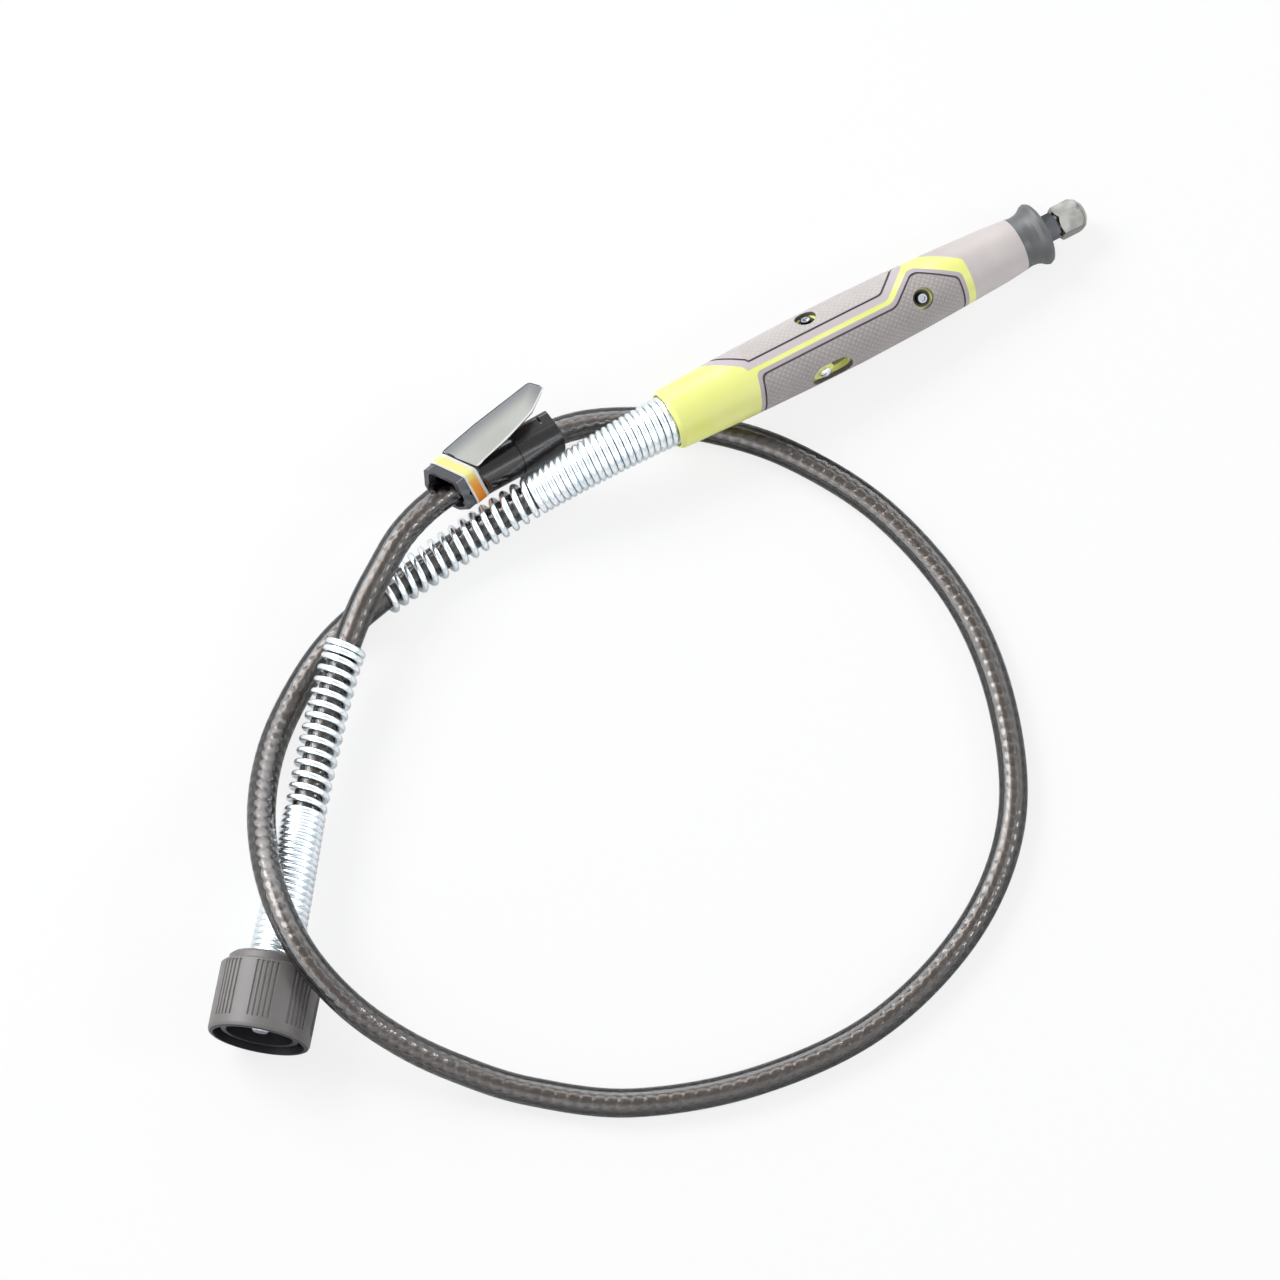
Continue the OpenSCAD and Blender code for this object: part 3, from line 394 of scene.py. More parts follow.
def addNode(tree, kind, settings=None, **sockets):
    # sockets are named by their label without spaces; in0, in1 ... name them by place
    node = tree.nodes.new(kind)
    for key, value in (settings or {}).items():
        setattr(node, key, value)
    for label, value in sockets.items():
        if label.startswith("in") and label[2:].isdigit():
            socket = node.inputs[int(label[2:])]
        else:
            socket = next(s for s in node.inputs if s.name.replace(" ", "") == label)
        if isinstance(value, bpy.types.Node):
            value = next(s for s in value.outputs if s.enabled)
        if isinstance(value, bpy.types.NodeSocket):
            tree.links.new(value, socket)
        else:
            socket.default_value = value
    return node


def newMaterial(name):
    material = bpy.data.materials.new(name)
    material.use_nodes = True
    tree = material.node_tree
    tree.nodes.clear()
    return material, tree


def turnedCoordinates(tree, place, roll=0.0):
    # Object coordinates in a part's own frame: x runs along the part from its origin
    turn = Matrix.Rotation(roll, 3, "X") @ place["turn"]
    where = addNode(tree, "ShaderNodeTexCoord")
    return addNode(tree, "ShaderNodeMapping", {"vector_type": "POINT"}, Vector=where.outputs["Object"],
                   Location=-(turn @ Vector(place["origin"])), Rotation=turn.to_euler("XYZ"))


def mouldedPlastic(name, colours, roughness, grain=0.35 * mm, cloud=18 * mm, bump=0.02, extra=None):
    # moulded plastic: a fine spark-eroded grain, and slow tone changes of a large moulding
    material, tree = newMaterial(name)
    where = addNode(tree, "ShaderNodeTexCoord").outputs["Object"]
    slow = addNode(tree, "ShaderNodeTexNoise", Vector=where, Scale=1 / cloud, Detail=3.0, Roughness=0.6)
    fine = addNode(tree, "ShaderNodeTexNoise", Vector=where, Scale=1 / grain, Detail=2.0, Roughness=0.6)
    share = addNode(tree, "ShaderNodeMapRange", Value=slow.outputs["Fac"], FromMin=0.3, FromMax=0.65)
    tone = addNode(tree, "ShaderNodeMix", {"data_type": "RGBA"}, in0=share, in6=linear(colours[1]),
                   in7=linear(colours[0])).outputs[2]
    if extra:
        tone = extra(tree, tone)
    rough = addNode(tree, "ShaderNodeMapRange", Value=fine.outputs["Fac"], ToMin=roughness * 0.85,
                    ToMax=min(roughness * 1.2, 1))
    relief = addNode(tree, "ShaderNodeBump", Strength=0.6, Distance=bump * mm, Height=fine.outputs["Fac"])
    shader = addNode(tree, "ShaderNodeBsdfPrincipled", BaseColor=tone, Roughness=rough, IOR=1.5,
                     Normal=relief)
    addNode(tree, "ShaderNodeOutputMaterial", Surface=shader)
    return material


def metal(name, colours, roughness, grain=0.4 * mm, cloud=6 * mm, bump=0.006, extra=None):
    # metal: fine working marks, and a slightly uneven polish
    material, tree = newMaterial(name)
    where = addNode(tree, "ShaderNodeTexCoord").outputs["Object"]
    marks = addNode(tree, "ShaderNodeTexNoise", Vector=where, Scale=1 / grain, Detail=4.0, Roughness=0.65)
    slow = addNode(tree, "ShaderNodeTexNoise", Vector=where, Scale=1 / cloud, Detail=2.0)
    share = addNode(tree, "ShaderNodeMapRange", Value=slow.outputs["Fac"], FromMin=0.35, FromMax=0.65)
    tone = addNode(tree, "ShaderNodeMix", {"data_type": "RGBA"}, in0=share, in6=linear(colours[1]),
                   in7=linear(colours[0]))
    tone = tone.outputs[2]
    if extra:
        tone = extra(tree, tone)
    rough = addNode(tree, "ShaderNodeMapRange", Value=marks.outputs["Fac"], ToMin=roughness * 0.7,
                    ToMax=roughness * 1.35)
    relief = addNode(tree, "ShaderNodeBump", Strength=0.5, Distance=bump * mm,
                     Height=marks.outputs["Fac"])
    shader = addNode(tree, "ShaderNodeBsdfPrincipled", BaseColor=tone, Roughness=rough, Metallic=1.0,
                     Normal=relief)
    addNode(tree, "ShaderNodeOutputMaterial", Surface=shader)
    return material


def depthInside(tree, where, parts, across, soft=1.0 * mm):
    # depth inside an outline: least distance to the edges of each part, and the largest of those
    deepest = None
    for part in parts:
        least = None
        for (u0, h0), (u1, h1) in part:
            run = math.hypot(u1 - u0, h1 - h0)
            nu, nh = -(h1 - h0) / run, (u1 - u0) / run
            inward = (nu, nh, 0) if across == "Y" else (nu, 0, nh)
            dot = addNode(tree, "ShaderNodeVectorMath", {"operation": "DOT_PRODUCT"}, in0=where, in1=inward)
            d = addNode(tree, "ShaderNodeMath", {"operation": "SUBTRACT"}, in0=dot.outputs["Value"],
                        in1=(nu * u0 + nh * h0) * mm)
            least = d if least is None else addNode(tree, "ShaderNodeMath", {"operation": "SMOOTH_MIN"},
                                                    in0=least, in1=d, in2=soft)
        deepest = least if deepest is None else addNode(tree, "ShaderNodeMath", {"operation": "SMOOTH_MAX"},
                                                        in0=deepest, in1=least, in2=soft)
    return deepest


grip = {
    "groove": 0.6 * mm,
    # the body's radius at its stations, in mm; between them it runs straight
    "profile": [(0.4, 8.5), (1.4, 9.1), (24, 9.9), (44, 10.3), (60, 10.35), (81.1, 9.87), (95.6, 9.25),
                (109, 8.55), (115.4, 7.9)],
    "sunkFrom": 0.12 * mm, "sunkTo": 0.22 * mm,   # depth below the body where the painted groove shade sets in
    "weavePitch": 1.8 * mm,
    "weaveR": 10.1 * mm,         # radius that the weave is unrolled at
    "weaveEdge": 0.15 * mm,
    "weaveRelief": 0.32,         # strength of its bump
    "valleyWidth": 0.35,         # of the pitch
    "upperDark": 0.86, "lowerDark": 0.76,         # painted shade in the weave's valleys: how dark they are
    "grainSize": 0.5 * mm, "grainHeight": 0.05 * mm,
    "cloudSize": 9 * mm,
    # painted shade in the groove and the cut walls
    "grooveColour": "#625C60",
}


def gripRubber(name, colours, border, outlines, inset, valley):
    # TPE moulded over the body: a diamond weave inside the groove, a smooth paler border outside it
    material, tree = newMaterial(name)
    flat = turnedCoordinates(tree, handle)
    seam = turnedCoordinates(tree, handle, -handle["seamRoll"])
    deepest = depthInside(tree, seam, outlines, "Z")
    far = inset + grip["groove"]
    inside = addNode(tree, "ShaderNodeMapRange", Value=deepest, FromMin=far,
                     FromMax=far + grip["weaveEdge"])
    axes = addNode(tree, "ShaderNodeSeparateXYZ", Vector=flat)
    # painted shade: the groove and all cut walls are darkened where the surface is below the body's own
    # radius
    around = addNode(tree, "ShaderNodeVectorMath", {"operation": "MULTIPLY"}, in0=flat, in1=(0, 1, 1))
    radius = addNode(tree, "ShaderNodeVectorMath", {"operation": "LENGTH"}, in0=around.outputs["Vector"])
    body = None
    for (u0, r0), (u1, r1) in zip(grip["profile"], grip["profile"][1:]):
        k = (r1 - r0) / (u1 - u0)
        line = addNode(tree, "ShaderNodeMath", {"operation": "MULTIPLY_ADD"}, in0=axes.outputs["X"], in1=k,
                       in2=(r0 - k * u0) * mm)
        body = line if body is None else addNode(tree, "ShaderNodeMath", {"operation": "MINIMUM"}, in0=body,
                                                 in1=line)
    sunk = addNode(tree, "ShaderNodeMath", {"operation": "SUBTRACT"}, in0=body,
                   in1=radius.outputs["Value"])
    grooveShadeShare = addNode(tree, "ShaderNodeMapRange", Value=sunk, FromMin=grip["sunkFrom"],
                       FromMax=grip["sunkTo"])
    # weave: two families of ridges that wind each way round the grip
    angle = addNode(tree, "ShaderNodeMath", {"operation": "ARCTAN2"}, in0=axes.outputs["Y"],
                    in1=axes.outputs["Z"])
    arc = addNode(tree, "ShaderNodeMath", {"operation": "MULTIPLY"}, in0=angle,
                  in1=grip["weaveR"])
    ridges = []
    for way in (1, -1):
        skew = addNode(tree, "ShaderNodeMath", {"operation": "MULTIPLY_ADD"}, in0=arc, in1=float(way),
                       in2=axes.outputs["X"])
        ridges.append(addNode(tree, "ShaderNodeMath", {"operation": "PINGPONG"}, in0=skew,
                              in1=grip["weavePitch"] / 2))
    weave = addNode(tree, "ShaderNodeMath", {"operation": "MINIMUM"}, in0=ridges[0], in1=ridges[1])
    fine = addNode(tree, "ShaderNodeTexNoise", Vector=flat, Scale=1 / grip["grainSize"], Detail=3.0,
                   Roughness=0.7)
    grain = addNode(tree, "ShaderNodeMath", {"operation": "MULTIPLY"}, in0=fine.outputs["Fac"],
                    in1=grip["grainHeight"])
    cut = addNode(tree, "ShaderNodeMath", {"operation": "MULTIPLY"}, in0=weave, in1=inside)
    height = addNode(tree, "ShaderNodeMath", {"operation": "ADD"}, in0=cut, in1=grain)
    relief = addNode(tree, "ShaderNodeBump", Strength=grip["weaveRelief"], Distance=1.0, Height=height)
    slow = addNode(tree, "ShaderNodeTexNoise", Vector=flat, Scale=1 / grip["cloudSize"],
                   Detail=3.0)
    # painted shade: the weave's valleys are darkened
    valleyShade = addNode(tree, "ShaderNodeMapRange", Value=weave, FromMin=0.0,
                   FromMax=grip["weavePitch"] * grip["valleyWidth"], ToMin=valley, ToMax=1.0)
    woven = addNode(tree, "ShaderNodeMix", {"data_type": "RGBA"}, in0=slow.outputs["Fac"],
                    in6=linear(colours[0]), in7=linear(colours[1]))
    deep = addNode(tree, "ShaderNodeVectorMath", {"operation": "SCALE"}, in0=woven.outputs[2],
                   Scale=valleyShade)
    panel = addNode(tree, "ShaderNodeMix", {"data_type": "RGBA"}, in0=inside, in6=linear(border),
                    in7=deep.outputs["Vector"])
    lined = addNode(tree, "ShaderNodeMix", {"data_type": "RGBA"}, in0=grooveShadeShare, in6=panel.outputs[2],
                    in7=linear(grip["grooveColour"]))
    shader = addNode(tree, "ShaderNodeBsdfPrincipled", BaseColor=lined.outputs[2], Roughness=0.62, IOR=1.48,
                     SheenWeight=0.15, SheenRoughness=0.5, Normal=relief)
    addNode(tree, "ShaderNodeOutputMaterial", Surface=shader)
    return material


# outlines of the grips as [station, height] edges seen along the seam, in mm, as the part cuts them
upperEdges = [[[(13.2, 14.45), (14.8, 9.6)], [(14.8, 9.6), (24.6, 2.4)], [(24.6, 2.4), (25.4, 0.7)],
               [(25.4, 0.7), (71.2, 0.7)], [(71.2, 0.7), (81.4, 8.6)], [(81.4, 8.6), (82.6, 14.45)]]]
lowerEdges = [[[(27.4, -0.7), (24.4, -14.45)], [(94.7, -14.45), (94.7, -1.6)],
               [(72.1, -0.7), (27.4, -0.7)]],
              [[(27.4, -0.7), (24.4, -14.45)], [(94.7, -14.45), (94.7, -1.6)], [(94.7, -1.6), (81.9, 6.9)],
               [(81.9, 6.9), (72.1, -0.7)]]]


screws = {
    "axes": [(48.4 * mm, math.radians(-39)), (81.1 * mm, math.radians(28))],   # station, roll
    "bareR": 1.25 * mm, "blackR": 1.4 * mm,      # head bright inside the first, near-black beyond the second
    "headColour": "#2A2A2D",
    "rubR": 2.45 * mm, "cleanR": 2.7 * mm,       # seat painted full shade inside the first, lime beyond the second
    "seatColour": "#2A2B24",
}


def screwDistance(tree):
    # distance to the nearer screw's axis
    flat = turnedCoordinates(tree, handle)
    nearest = None
    for station, roll in screws["axes"]:
        arm = addNode(tree, "ShaderNodeVectorMath", {"operation": "SUBTRACT"}, in0=flat,
                      in1=(station, 0, 0))
        away = addNode(tree, "ShaderNodeVectorMath", {"operation": "CROSS_PRODUCT"}, in0=arm,
                       in1=(0, -math.sin(roll), math.cos(roll)))
        r = addNode(tree, "ShaderNodeVectorMath", {"operation": "LENGTH"}, in0=away).outputs["Value"]
        nearest = r if nearest is None else addNode(tree, "ShaderNodeMath", {"operation": "MINIMUM"},
                                                    in0=nearest, in1=r)
    return nearest


def darkRimmedHeads(tree, tone):
    # the head painted near-black outside a bright middle round its socket
    black = addNode(tree, "ShaderNodeMapRange", Value=screwDistance(tree), FromMin=screws["bareR"],
                    FromMax=screws["blackR"])
    return addNode(tree, "ShaderNodeMix", {"data_type": "RGBA"}, in0=black, in6=tone,
                   in7=linear(screws["headColour"])).outputs[2]


def screwSeatShade(tree, tone):
    # painted shade: a dark ring on the lime seat round each screw's head, where the recess lies in shade
    black = addNode(tree, "ShaderNodeMapRange", Value=screwDistance(tree), FromMin=screws["cleanR"],
                    FromMax=screws["rubR"])
    return addNode(tree, "ShaderNodeMix", {"data_type": "RGBA"}, in0=black, in6=tone,
                   in7=linear(screws["seatColour"])).outputs[2]


def clipRimHighlight(tree, tone):
    # painted highlight: the loop's black rim behind the band is painted a dull grey
    slant = (math.cos(clip["loopSlant"]), math.sin(clip["loopSlant"]), 0)
    along = addNode(tree, "ShaderNodeVectorMath", {"operation": "DOT_PRODUCT"},
                    in0=turnedCoordinates(tree, clip), in1=slant).outputs["Value"]
    front = clip["loopX"] * slant[0]
    rim = addNode(tree, "ShaderNodeMapRange", {"interpolation_type": "SMOOTHSTEP"}, Value=along,
                  FromMin=front + clip["rimTo"], FromMax=front + clip["rimFrom"])
    return addNode(tree, "ShaderNodeMix", {"data_type": "RGBA"}, in0=rim, in6=tone,
                   in7=linear(clip["rimColour"])).outputs[2]


def nutMouthAndBoreShade(tree, tone):
    # the mouth's face is black, and the bore behind it is painted black as the shade deep inside the nut
    flat = turnedCoordinates(tree, nutFrame)
    along = addNode(tree, "ShaderNodeSeparateXYZ", Vector=flat).outputs["X"]
    around = addNode(tree, "ShaderNodeVectorMath", {"operation": "MULTIPLY"}, in0=flat, in1=(0, 1, 1))
    radius = addNode(tree, "ShaderNodeVectorMath", {"operation": "LENGTH"}, in0=around.outputs["Vector"])
    face = addNode(tree, "ShaderNodeMapRange", Value=along, FromMin=nutFrame["faceAt"] - 0.05 * mm,
                   FromMax=nutFrame["faceAt"] + 0.05 * mm)
    bore = addNode(tree, "ShaderNodeMapRange", Value=radius.outputs["Value"],
                   FromMin=nutFrame["boreR"] + 0.1 * mm, FromMax=nutFrame["boreR"] - 0.1 * mm)
    deep = addNode(tree, "ShaderNodeMapRange", Value=along, FromMin=nutFrame["boreFrom"] - 0.05 * mm,
                   FromMax=nutFrame["boreFrom"] + 0.05 * mm)
    # painted shade inside the bore
    inner = addNode(tree, "ShaderNodeMath", {"operation": "MULTIPLY"}, in0=bore, in1=deep)
    black = addNode(tree, "ShaderNodeMath", {"operation": "MAXIMUM"}, in0=face, in1=inner)
    return addNode(tree, "ShaderNodeMix", {"data_type": "RGBA"}, in0=black, in6=tone,
                   in7=linear(nutFrame["mouthColour"])).outputs[2]


bandPrint = {
    "top": 8.2 * mm, "foot": -4 * mm,            # heights where the colours begin and end
    # the top ink is paled as a painted highlight
    "inks": ("#FFF8A0", "#FF8416"),
    "between": [(0.06, "#FFF07C"), (0.22, "#FFB13C")],
    # white stripes along both edges, measured from the loop's front face
    "rearStripe": 1.4 * mm, "frontStripe": 4.1 * mm, "soft": 0.05 * mm,
    "white": "#F4F2EE",
}


def bandInksAndHighlight(tree, tone):
    # printed film: yellow above runs into orange down the sides, paled at the very top as a painted
    # highlight, with a white stripe along both edges
    flat = turnedCoordinates(tree, clip)
    axes = addNode(tree, "ShaderNodeSeparateXYZ", Vector=flat)
    v = bandPrint
    drop = addNode(tree, "ShaderNodeMapRange", Value=axes.outputs["Z"], FromMin=v["top"], FromMax=v["foot"])
    ramp = addNode(tree, "ShaderNodeValToRGB", Fac=drop)
    ramp.color_ramp.elements[0].color = linear(v["inks"][0])
    ramp.color_ramp.elements[1].color = linear(v["inks"][1])
    for place, ink in v["between"]:
        ramp.color_ramp.elements.new(place).color = linear(ink)
    slant = (math.cos(clip["loopSlant"]), math.sin(clip["loopSlant"]), 0)
    along = addNode(tree, "ShaderNodeVectorMath", {"operation": "DOT_PRODUCT"}, in0=flat, in1=slant)
    s = addNode(tree, "ShaderNodeMath", {"operation": "SUBTRACT"}, in0=along.outputs["Value"],
                in1=clip["loopX"] * slant[0])
    rear = addNode(tree, "ShaderNodeMapRange", Value=s, FromMin=v["rearStripe"] + v["soft"],
                   FromMax=v["rearStripe"] - v["soft"])
    front = addNode(tree, "ShaderNodeMapRange", Value=s, FromMin=v["frontStripe"] - v["soft"],
                    FromMax=v["frontStripe"] + v["soft"])
    white = addNode(tree, "ShaderNodeMath", {"operation": "MAXIMUM"}, in0=rear, in1=front)
    return addNode(tree, "ShaderNodeMix", {"data_type": "RGBA"}, in0=white, in6=ramp.outputs["Color"],
                   in7=linear(v["white"])).outputs[2]


def labelInks(tree, tone):
    # grey film, darker along its left edge and at its tip, with a painted highlight as a white band along
    # the right edge
    lift = {"turn": Matrix.Rotation(clip["tongueTilt"], 3, "Y") @ clip["turn"]}
    foot = Vector((clip["loopX"], 0, clip["tongueZ"]))
    lift["origin"] = Vector(clip["origin"]) + clip["turn"].transposed() @ foot
    flat = turnedCoordinates(tree, lift)
    axes = addNode(tree, "ShaderNodeSeparateXYZ", Vector=flat)
    left, right = clip["leftEdge"], clip["rightEdge"]
    toLeft = depthInside(tree, flat, [list(zip(left, left[1:]))], "Y")
    toEdge = addNode(tree, "ShaderNodeMapRange", {"interpolation_type": "SMOOTHSTEP"}, Value=toLeft,
                     FromMin=clip["shadeReach"], FromMax=0.0)
    toTip = addNode(tree, "ShaderNodeMapRange", {"interpolation_type": "SMOOTHSTEP"},
                    Value=axes.outputs["X"], FromMin=clip["tipFrom"], FromMax=clip["tipTo"])
    darkerShare = addNode(tree, "ShaderNodeMath", {"operation": "MAXIMUM"}, in0=toEdge, in1=toTip)
    shade = addNode(tree, "ShaderNodeMix", {"data_type": "RGBA"}, in0=darkerShare, in6=tone,
                    in7=linear(clip["wornColour"]))
    # painted highlight: a white band along the right edge
    toRight = depthInside(tree, flat, [list(zip(right, right[1:]))], "Y")
    margin = addNode(tree, "ShaderNodeMapRange", Value=toRight, FromMin=clip["margin"] + 0.04 * mm,
                     FromMax=clip["margin"] - 0.04 * mm)
    return addNode(tree, "ShaderNodeMix", {"data_type": "RGBA"}, in0=margin, in6=shade.outputs[2],
                   in7=linear(clip["marginColour"])).outputs[2]


casing = {
    "tint": "#EDEAE8",
    "absorb": (0.05, 0.03, 0.0),     # a little more red than blue gets through: a brownish grey
    "density": 510.0,                # per metre: a millimetre of wall takes four tenths of the light
    "ripple": 0.06 * mm,             # the skin rises over each turn of the liner
}


def smokyPvc(v):
    # clear PVC with smoke in it, extruded: a glossy skin, brown-grey in depth, dark where seen edge on
    material, tree = newMaterial("casing_smoky_clear_pvc")
    run = addNode(tree, "ShaderNodeUVMap", {"uv_map": "along"})
    axes = addNode(tree, "ShaderNodeSeparateXYZ", Vector=run)
    back = addNode(tree, "ShaderNodeMath", {"operation": "MULTIPLY"}, in0=axes.outputs["Y"], in1=-1.0)
    turns = addNode(tree, "ShaderNodeMath", {"operation": "MULTIPLY_ADD"}, in0=axes.outputs["X"],
                    in1=1 / shaft["linerPitch"], in2=back)
    phase = addNode(tree, "ShaderNodeMath", {"operation": "MULTIPLY"}, in0=turns, in1=2 * math.pi)
    wave = addNode(tree, "ShaderNodeMath", {"operation": "COSINE"}, in0=phase)
    height = addNode(tree, "ShaderNodeMath", {"operation": "MULTIPLY"}, in0=wave, in1=-v["ripple"])
    relief = addNode(tree, "ShaderNodeBump", Strength=1.0, Distance=1.0, Height=height)
    shader = addNode(tree, "ShaderNodeBsdfPrincipled", BaseColor=linear(v["tint"]), Roughness=0.1, IOR=1.5,
                     TransmissionWeight=1.0, Normal=relief)
    smoke = addNode(tree, "ShaderNodeVolumeAbsorption", Color=(*v["absorb"], 1.0), Density=v["density"])
    addNode(tree, "ShaderNodeOutputMaterial", Surface=shader, Volume=smoke)
    return material


paints = {
    # injection-moulded ABS with a fluorescent dye: even, nearly luminous colour with a soft gloss
    # with painted shade round each screw's seat
    "limePlastic": mouldedPlastic("fluorescent_abs_moulded", ("#FDFEA6", "#F8FB86"), 0.3, bump=0.01,
                                extra=screwSeatShade),
    "upperRubber": gripRubber("tpe_upper_grip_diamond_weave", ("#DDD5D1", "#CDC5C1"), "#CDC3C5", upperEdges,
                              2.1 * mm, grip["upperDark"]),
    "lowerRubber": gripRubber("tpe_lower_grip_diamond_weave", ("#C4BCB9", "#B1A9A6"), "#BFB5B8", lowerEdges,
                              1.2 * mm, grip["lowerDark"]),
    # satin ABS from a fine-eroded mould: an even, dull, slightly pink grey
    "noseAbs": mouldedPlastic("nose_abs_satin", ("#D8CFCC", "#CBC2BF"), 0.5, bump=0.03),
    # nitrile rubber: darker, softly glossy, with a cloudy bloom on it
    "ringRubber": mouldedPlastic("nose_ring_nitrile_bloomed", ("#6A6B6A", "#535453"), 0.42, bump=0.02),
    # black chrome over turned steel: a dark mirror
    "darkChrome": metal("collet_nut_black_chrome", ("#B4B2AC", "#888680"), 0.11),
    "spindleSteel": metal("spindle_blued_steel", ("#5C5D60", "#414245"), 0.1),
    "platedSteel": metal("nickel_plated_steel", ("#E4E5E8", "#C9CACE"), 0.16),
    "screwSteel": metal("screw_steel_dark_rimmed", ("#CFD0D4", "#A9AAAE"), 0.2, extra=darkRimmedHeads),
    # nickel polished smooth: a white mirror in a white room
    "polishedSteel": metal("nickel_plated_steel_polished", ("#F0F1F3", "#E8E9EB"), 0.1, bump=0.001),
    # zinc plating on drawn spring wire: very bright, a little blue, fine drawing marks
    "zincWire": metal("spring_wire_bright_zinc", ("#F4F8FA", "#E6EEF1"), 0.26, grain=0.3 * mm),
    "turnedAluminium": metal("turned_aluminium", ("#D5D6D8", "#C0C1C4"), 0.3),
    "bearingSteel": metal("bearing_steel_ground", ("#D8DADD", "#C8CACE"), 0.12),
    "brass": metal("pressed_brass", ("#D9B76A", "#B8934C"), 0.28),
    "bronze": metal("sintered_bronze", ("#B98550", "#96683C"), 0.45, grain=0.15 * mm, bump=0.02),
    "springSteel": metal("black_oxide_spring_steel", ("#4A4A4E", "#343438"), 0.35),
    # flat steel wire wound into a tube: each turn catches the light as a bead
    "linerSteel": metal("liner_flat_wire_bright", ("#E8E2DE", "#D0CAC6"), 0.36),
    "ropeSteel": metal("drive_rope_wire", ("#9C9CA0", "#7C7C80"), 0.4),
    # glass-filled nylon: dull dark grey with a faint sheen
    "nutNylon": mouldedPlastic("coupling_nut_nylon_satin", ("#787472", "#676361"), 0.45, bump=0.03,
                               extra=nutMouthAndBoreShade),
    "insertNylon": mouldedPlastic("threaded_insert_nylon", ("#2A2A2E", "#1F1F23"), 0.36),
    # black acetal: a smooth, slightly greasy sheen
    "clipAcetal": mouldedPlastic("clip_acetal_black", ("#2A2522", "#1D1A18"), 0.2,
                               extra=clipRimHighlight),
    "bandFilm": mouldedPlastic("band_printed_pet_film", ("#FFEF5E", "#FFEF5E"), 0.3, bump=0.004,
                               extra=bandInksAndHighlight),
    "labelFilm": mouldedPlastic("label_silvery_pet_film", ("#C9CAC3", "#BDBEB7"), 0.34, bump=0.006,
                                extra=labelInks),
    "casingPvc": smokyPvc(casing),
}

dressed = {
    "handle_core": "limePlastic", "upper_grip": "upperRubber", "lower_grip": "lowerRubber",
    "nose_barrel": "noseAbs", "nose_ring": "ringRubber", "grip_screws": "screwSteel",
    "bearing_barrel": "turnedAluminium", "front_bearing_outer": "bearingSteel",
    "front_bearing_inner": "bearingSteel", "front_bearing_balls": "bearingSteel",
    "front_bearing_cage": "brass", "rear_bearing_outer": "bearingSteel",
    "rear_bearing_inner": "bearingSteel", "rear_bearing_balls": "bearingSteel",
    "rear_bearing_cage": "brass", "bearing_spacer": "turnedAluminium", "bearing_clip": "springSteel",
    "spindle": "spindleSteel", "collet": "platedSteel", "collet_nut": "darkChrome",
    "lock_slider": "limePlastic", "lock_knob": "polishedSteel", "grip_ferrule": "brass",
    "clip_sleeve": "clipAcetal", "clip_band": "bandFilm", "drive_ferrule": "brass",
    "drive_bush": "bronze", "ferrule_clip": "springSteel", "coupling_nut": "nutNylon",
    "nut_insert": "insertNylon", "drive_tip": "platedSteel",
}
pieces = {jacket: "casingPvc", liner: "linerSteel", driveRope: "ropeSteel", gripCoilPiece: "zincWire",
          driveCoilPiece: "zincWire", labelPiece: "labelFilm"}
pieces.update({nodes[node]: name for node, name in dressed.items()})
for piece, name in pieces.items():
    piece.data.materials.clear()
    piece.data.materials.append(paints[name])
print("materials set:", len(paints))

studio = {
    "floorColour": "#FAFAFA",
    "floorLift": 0.8,               # how far the camera sees the floor's shadow lifted to white
    "floorSize": 6.0,
    "fibreSize": 2.5 * mm,
    "worldColour": "#F2F5FA",
    "worldStrength": 0.52,
    "seenStrength": 0.9,             # the world in the camera and in reflections: white
    "tentStrength": 6.5, "tentDark": 2.0,     # walls of the light tent on the lit and on the far side
    "tentSide": (-0.45, 0.89, 0.0),  # towards the lit walls; they are seen only in reflections
    "tentTurn": 0.7,                 # how far round, as a cosine, the walls go from dark to lit
    "tentHeights": (0.16, 0.3, 0.62, 0.76),   # sines of the heights where the walls' glow begins and ends
    "keyPower": 15.5, "keySize": 0.75, "keyPlace": (-0.52, 0.98, 1.1),
    "fillPower": 3.3, "fillSize": 0.3, "fillPlace": (0.95, -0.7, 0.85),
}


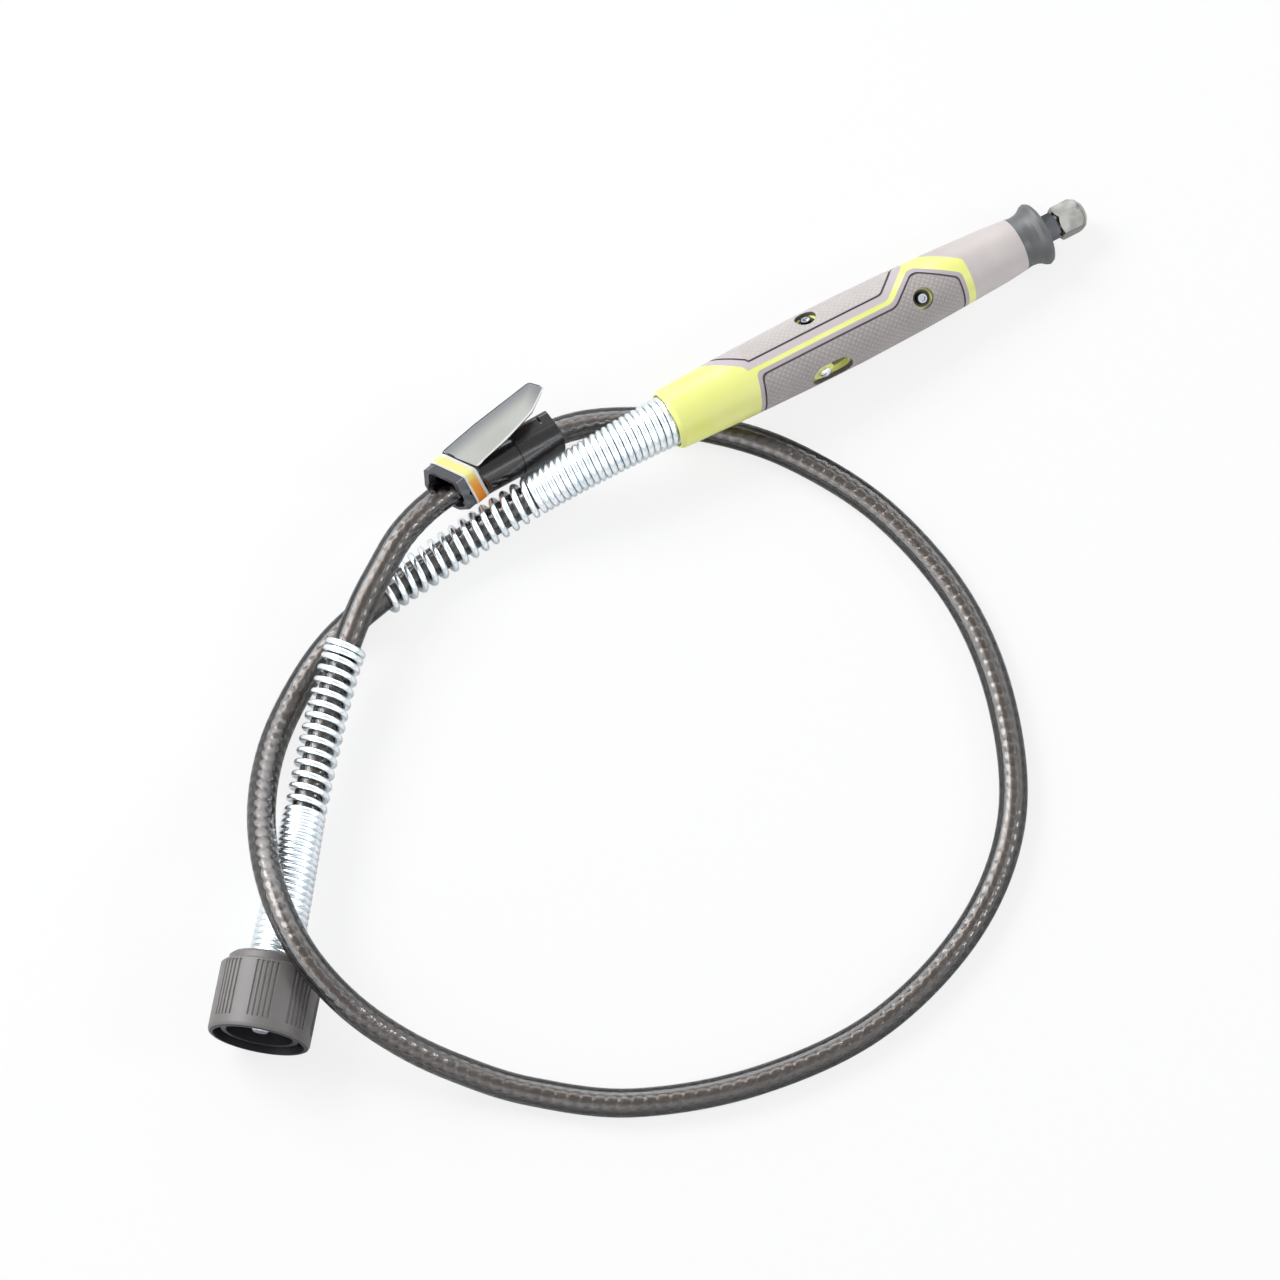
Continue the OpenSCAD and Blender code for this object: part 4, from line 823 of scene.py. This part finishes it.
def makeStudio(v):
    half = v["floorSize"] / 2
    mesh = bpy.data.meshes.new("floor")
    mesh.from_pydata([(-half, -half, 0), (half, -half, 0), (half, half, 0), (-half, half, 0)], [],
                     [(0, 1, 2, 3)])
    floor = bpy.data.objects.new("floor", mesh)
    scene.collection.objects.link(floor)
    material, tree = newMaterial("floor_white_card")
    where = addNode(tree, "ShaderNodeTexCoord").outputs["Object"]
    fibre = addNode(tree, "ShaderNodeTexNoise", Vector=where, Scale=1 / v["fibreSize"], Detail=2.0)
    rough = addNode(tree, "ShaderNodeMapRange", Value=fibre.outputs["Fac"], ToMin=0.85, ToMax=1.0)
    card = addNode(tree, "ShaderNodeBsdfPrincipled", BaseColor=linear(v["floorColour"]), Roughness=rough)
    seen = addNode(tree, "ShaderNodeLightPath").outputs["Is Camera Ray"]
    share = addNode(tree, "ShaderNodeMath", {"operation": "MULTIPLY"}, in0=seen, in1=v["floorLift"])
    white = addNode(tree, "ShaderNodeEmission", Color=linear("#FFFFFF"), Strength=1.0)
    addNode(tree, "ShaderNodeOutputMaterial",
            Surface=addNode(tree, "ShaderNodeMixShader", in0=share, in1=card, in2=white))
    mesh.materials.append(material)
    world = bpy.data.worlds.new("studio")
    world.use_nodes = True
    tree = world.node_tree
    tree.nodes.clear()
    path = addNode(tree, "ShaderNodeLightPath")
    height = addNode(tree, "ShaderNodeSeparateXYZ", Vector=addNode(tree, "ShaderNodeTexCoord").outputs[
        "Generated"]).outputs["Z"]
    low = addNode(tree, "ShaderNodeMapRange", {"interpolation_type": "SMOOTHSTEP"}, Value=height,
                  FromMin=v["tentHeights"][0], FromMax=v["tentHeights"][1])
    high = addNode(tree, "ShaderNodeMapRange", {"interpolation_type": "SMOOTHSTEP"}, Value=height,
                   FromMin=v["tentHeights"][3], FromMax=v["tentHeights"][2])
    wall = addNode(tree, "ShaderNodeMath", {"operation": "MULTIPLY"}, in0=low, in1=high)
    side = addNode(tree, "ShaderNodeVectorMath", {"operation": "DOT_PRODUCT"}, in1=v["tentSide"],
                   in0=addNode(tree, "ShaderNodeTexCoord").outputs["Generated"]).outputs["Value"]
    lit = addNode(tree, "ShaderNodeMapRange", {"interpolation_type": "SMOOTHSTEP"}, Value=side,
                  FromMin=-v["tentTurn"], FromMax=v["tentTurn"], ToMin=v["tentDark"],
                  ToMax=v["tentStrength"])
    tent = addNode(tree, "ShaderNodeMix", in0=wall, in2=v["seenStrength"], in3=lit)
    glossy = addNode(tree, "ShaderNodeMath", {"operation": "MAXIMUM"}, in0=path.outputs["Is Glossy Ray"],
                     in1=path.outputs["Is Transmission Ray"])
    seen = addNode(tree, "ShaderNodeMapRange", Value=path.outputs["Is Camera Ray"],
                   ToMin=v["worldStrength"], ToMax=1.0)
    strength = addNode(tree, "ShaderNodeMix", in0=glossy, in2=seen, in3=tent)
    light = addNode(tree, "ShaderNodeBackground", Color=linear(v["worldColour"]), Strength=strength)
    addNode(tree, "ShaderNodeOutputWorld", Surface=light)
    scene.world = world
    aim = np.array(cameraSetup["aim"])
    for name in ("key", "fill"):
        data = bpy.data.lights.new(name + "_softbox", "AREA")
        data.energy, data.size, data.shape = v[name + "Power"], v[name + "Size"], "SQUARE"
        lamp = bpy.data.objects.new(name + "_softbox", data)
        place = np.array(v[name + "Place"]) + aim
        back = unit(place - aim)
        lamp.matrix_world = standing(unit(np.cross([0, 0, 1.0], back)), back, place)
        scene.collection.objects.link(lamp)


makeStudio(studio)
scene.view_settings.view_transform = "Standard"
print("studio set")
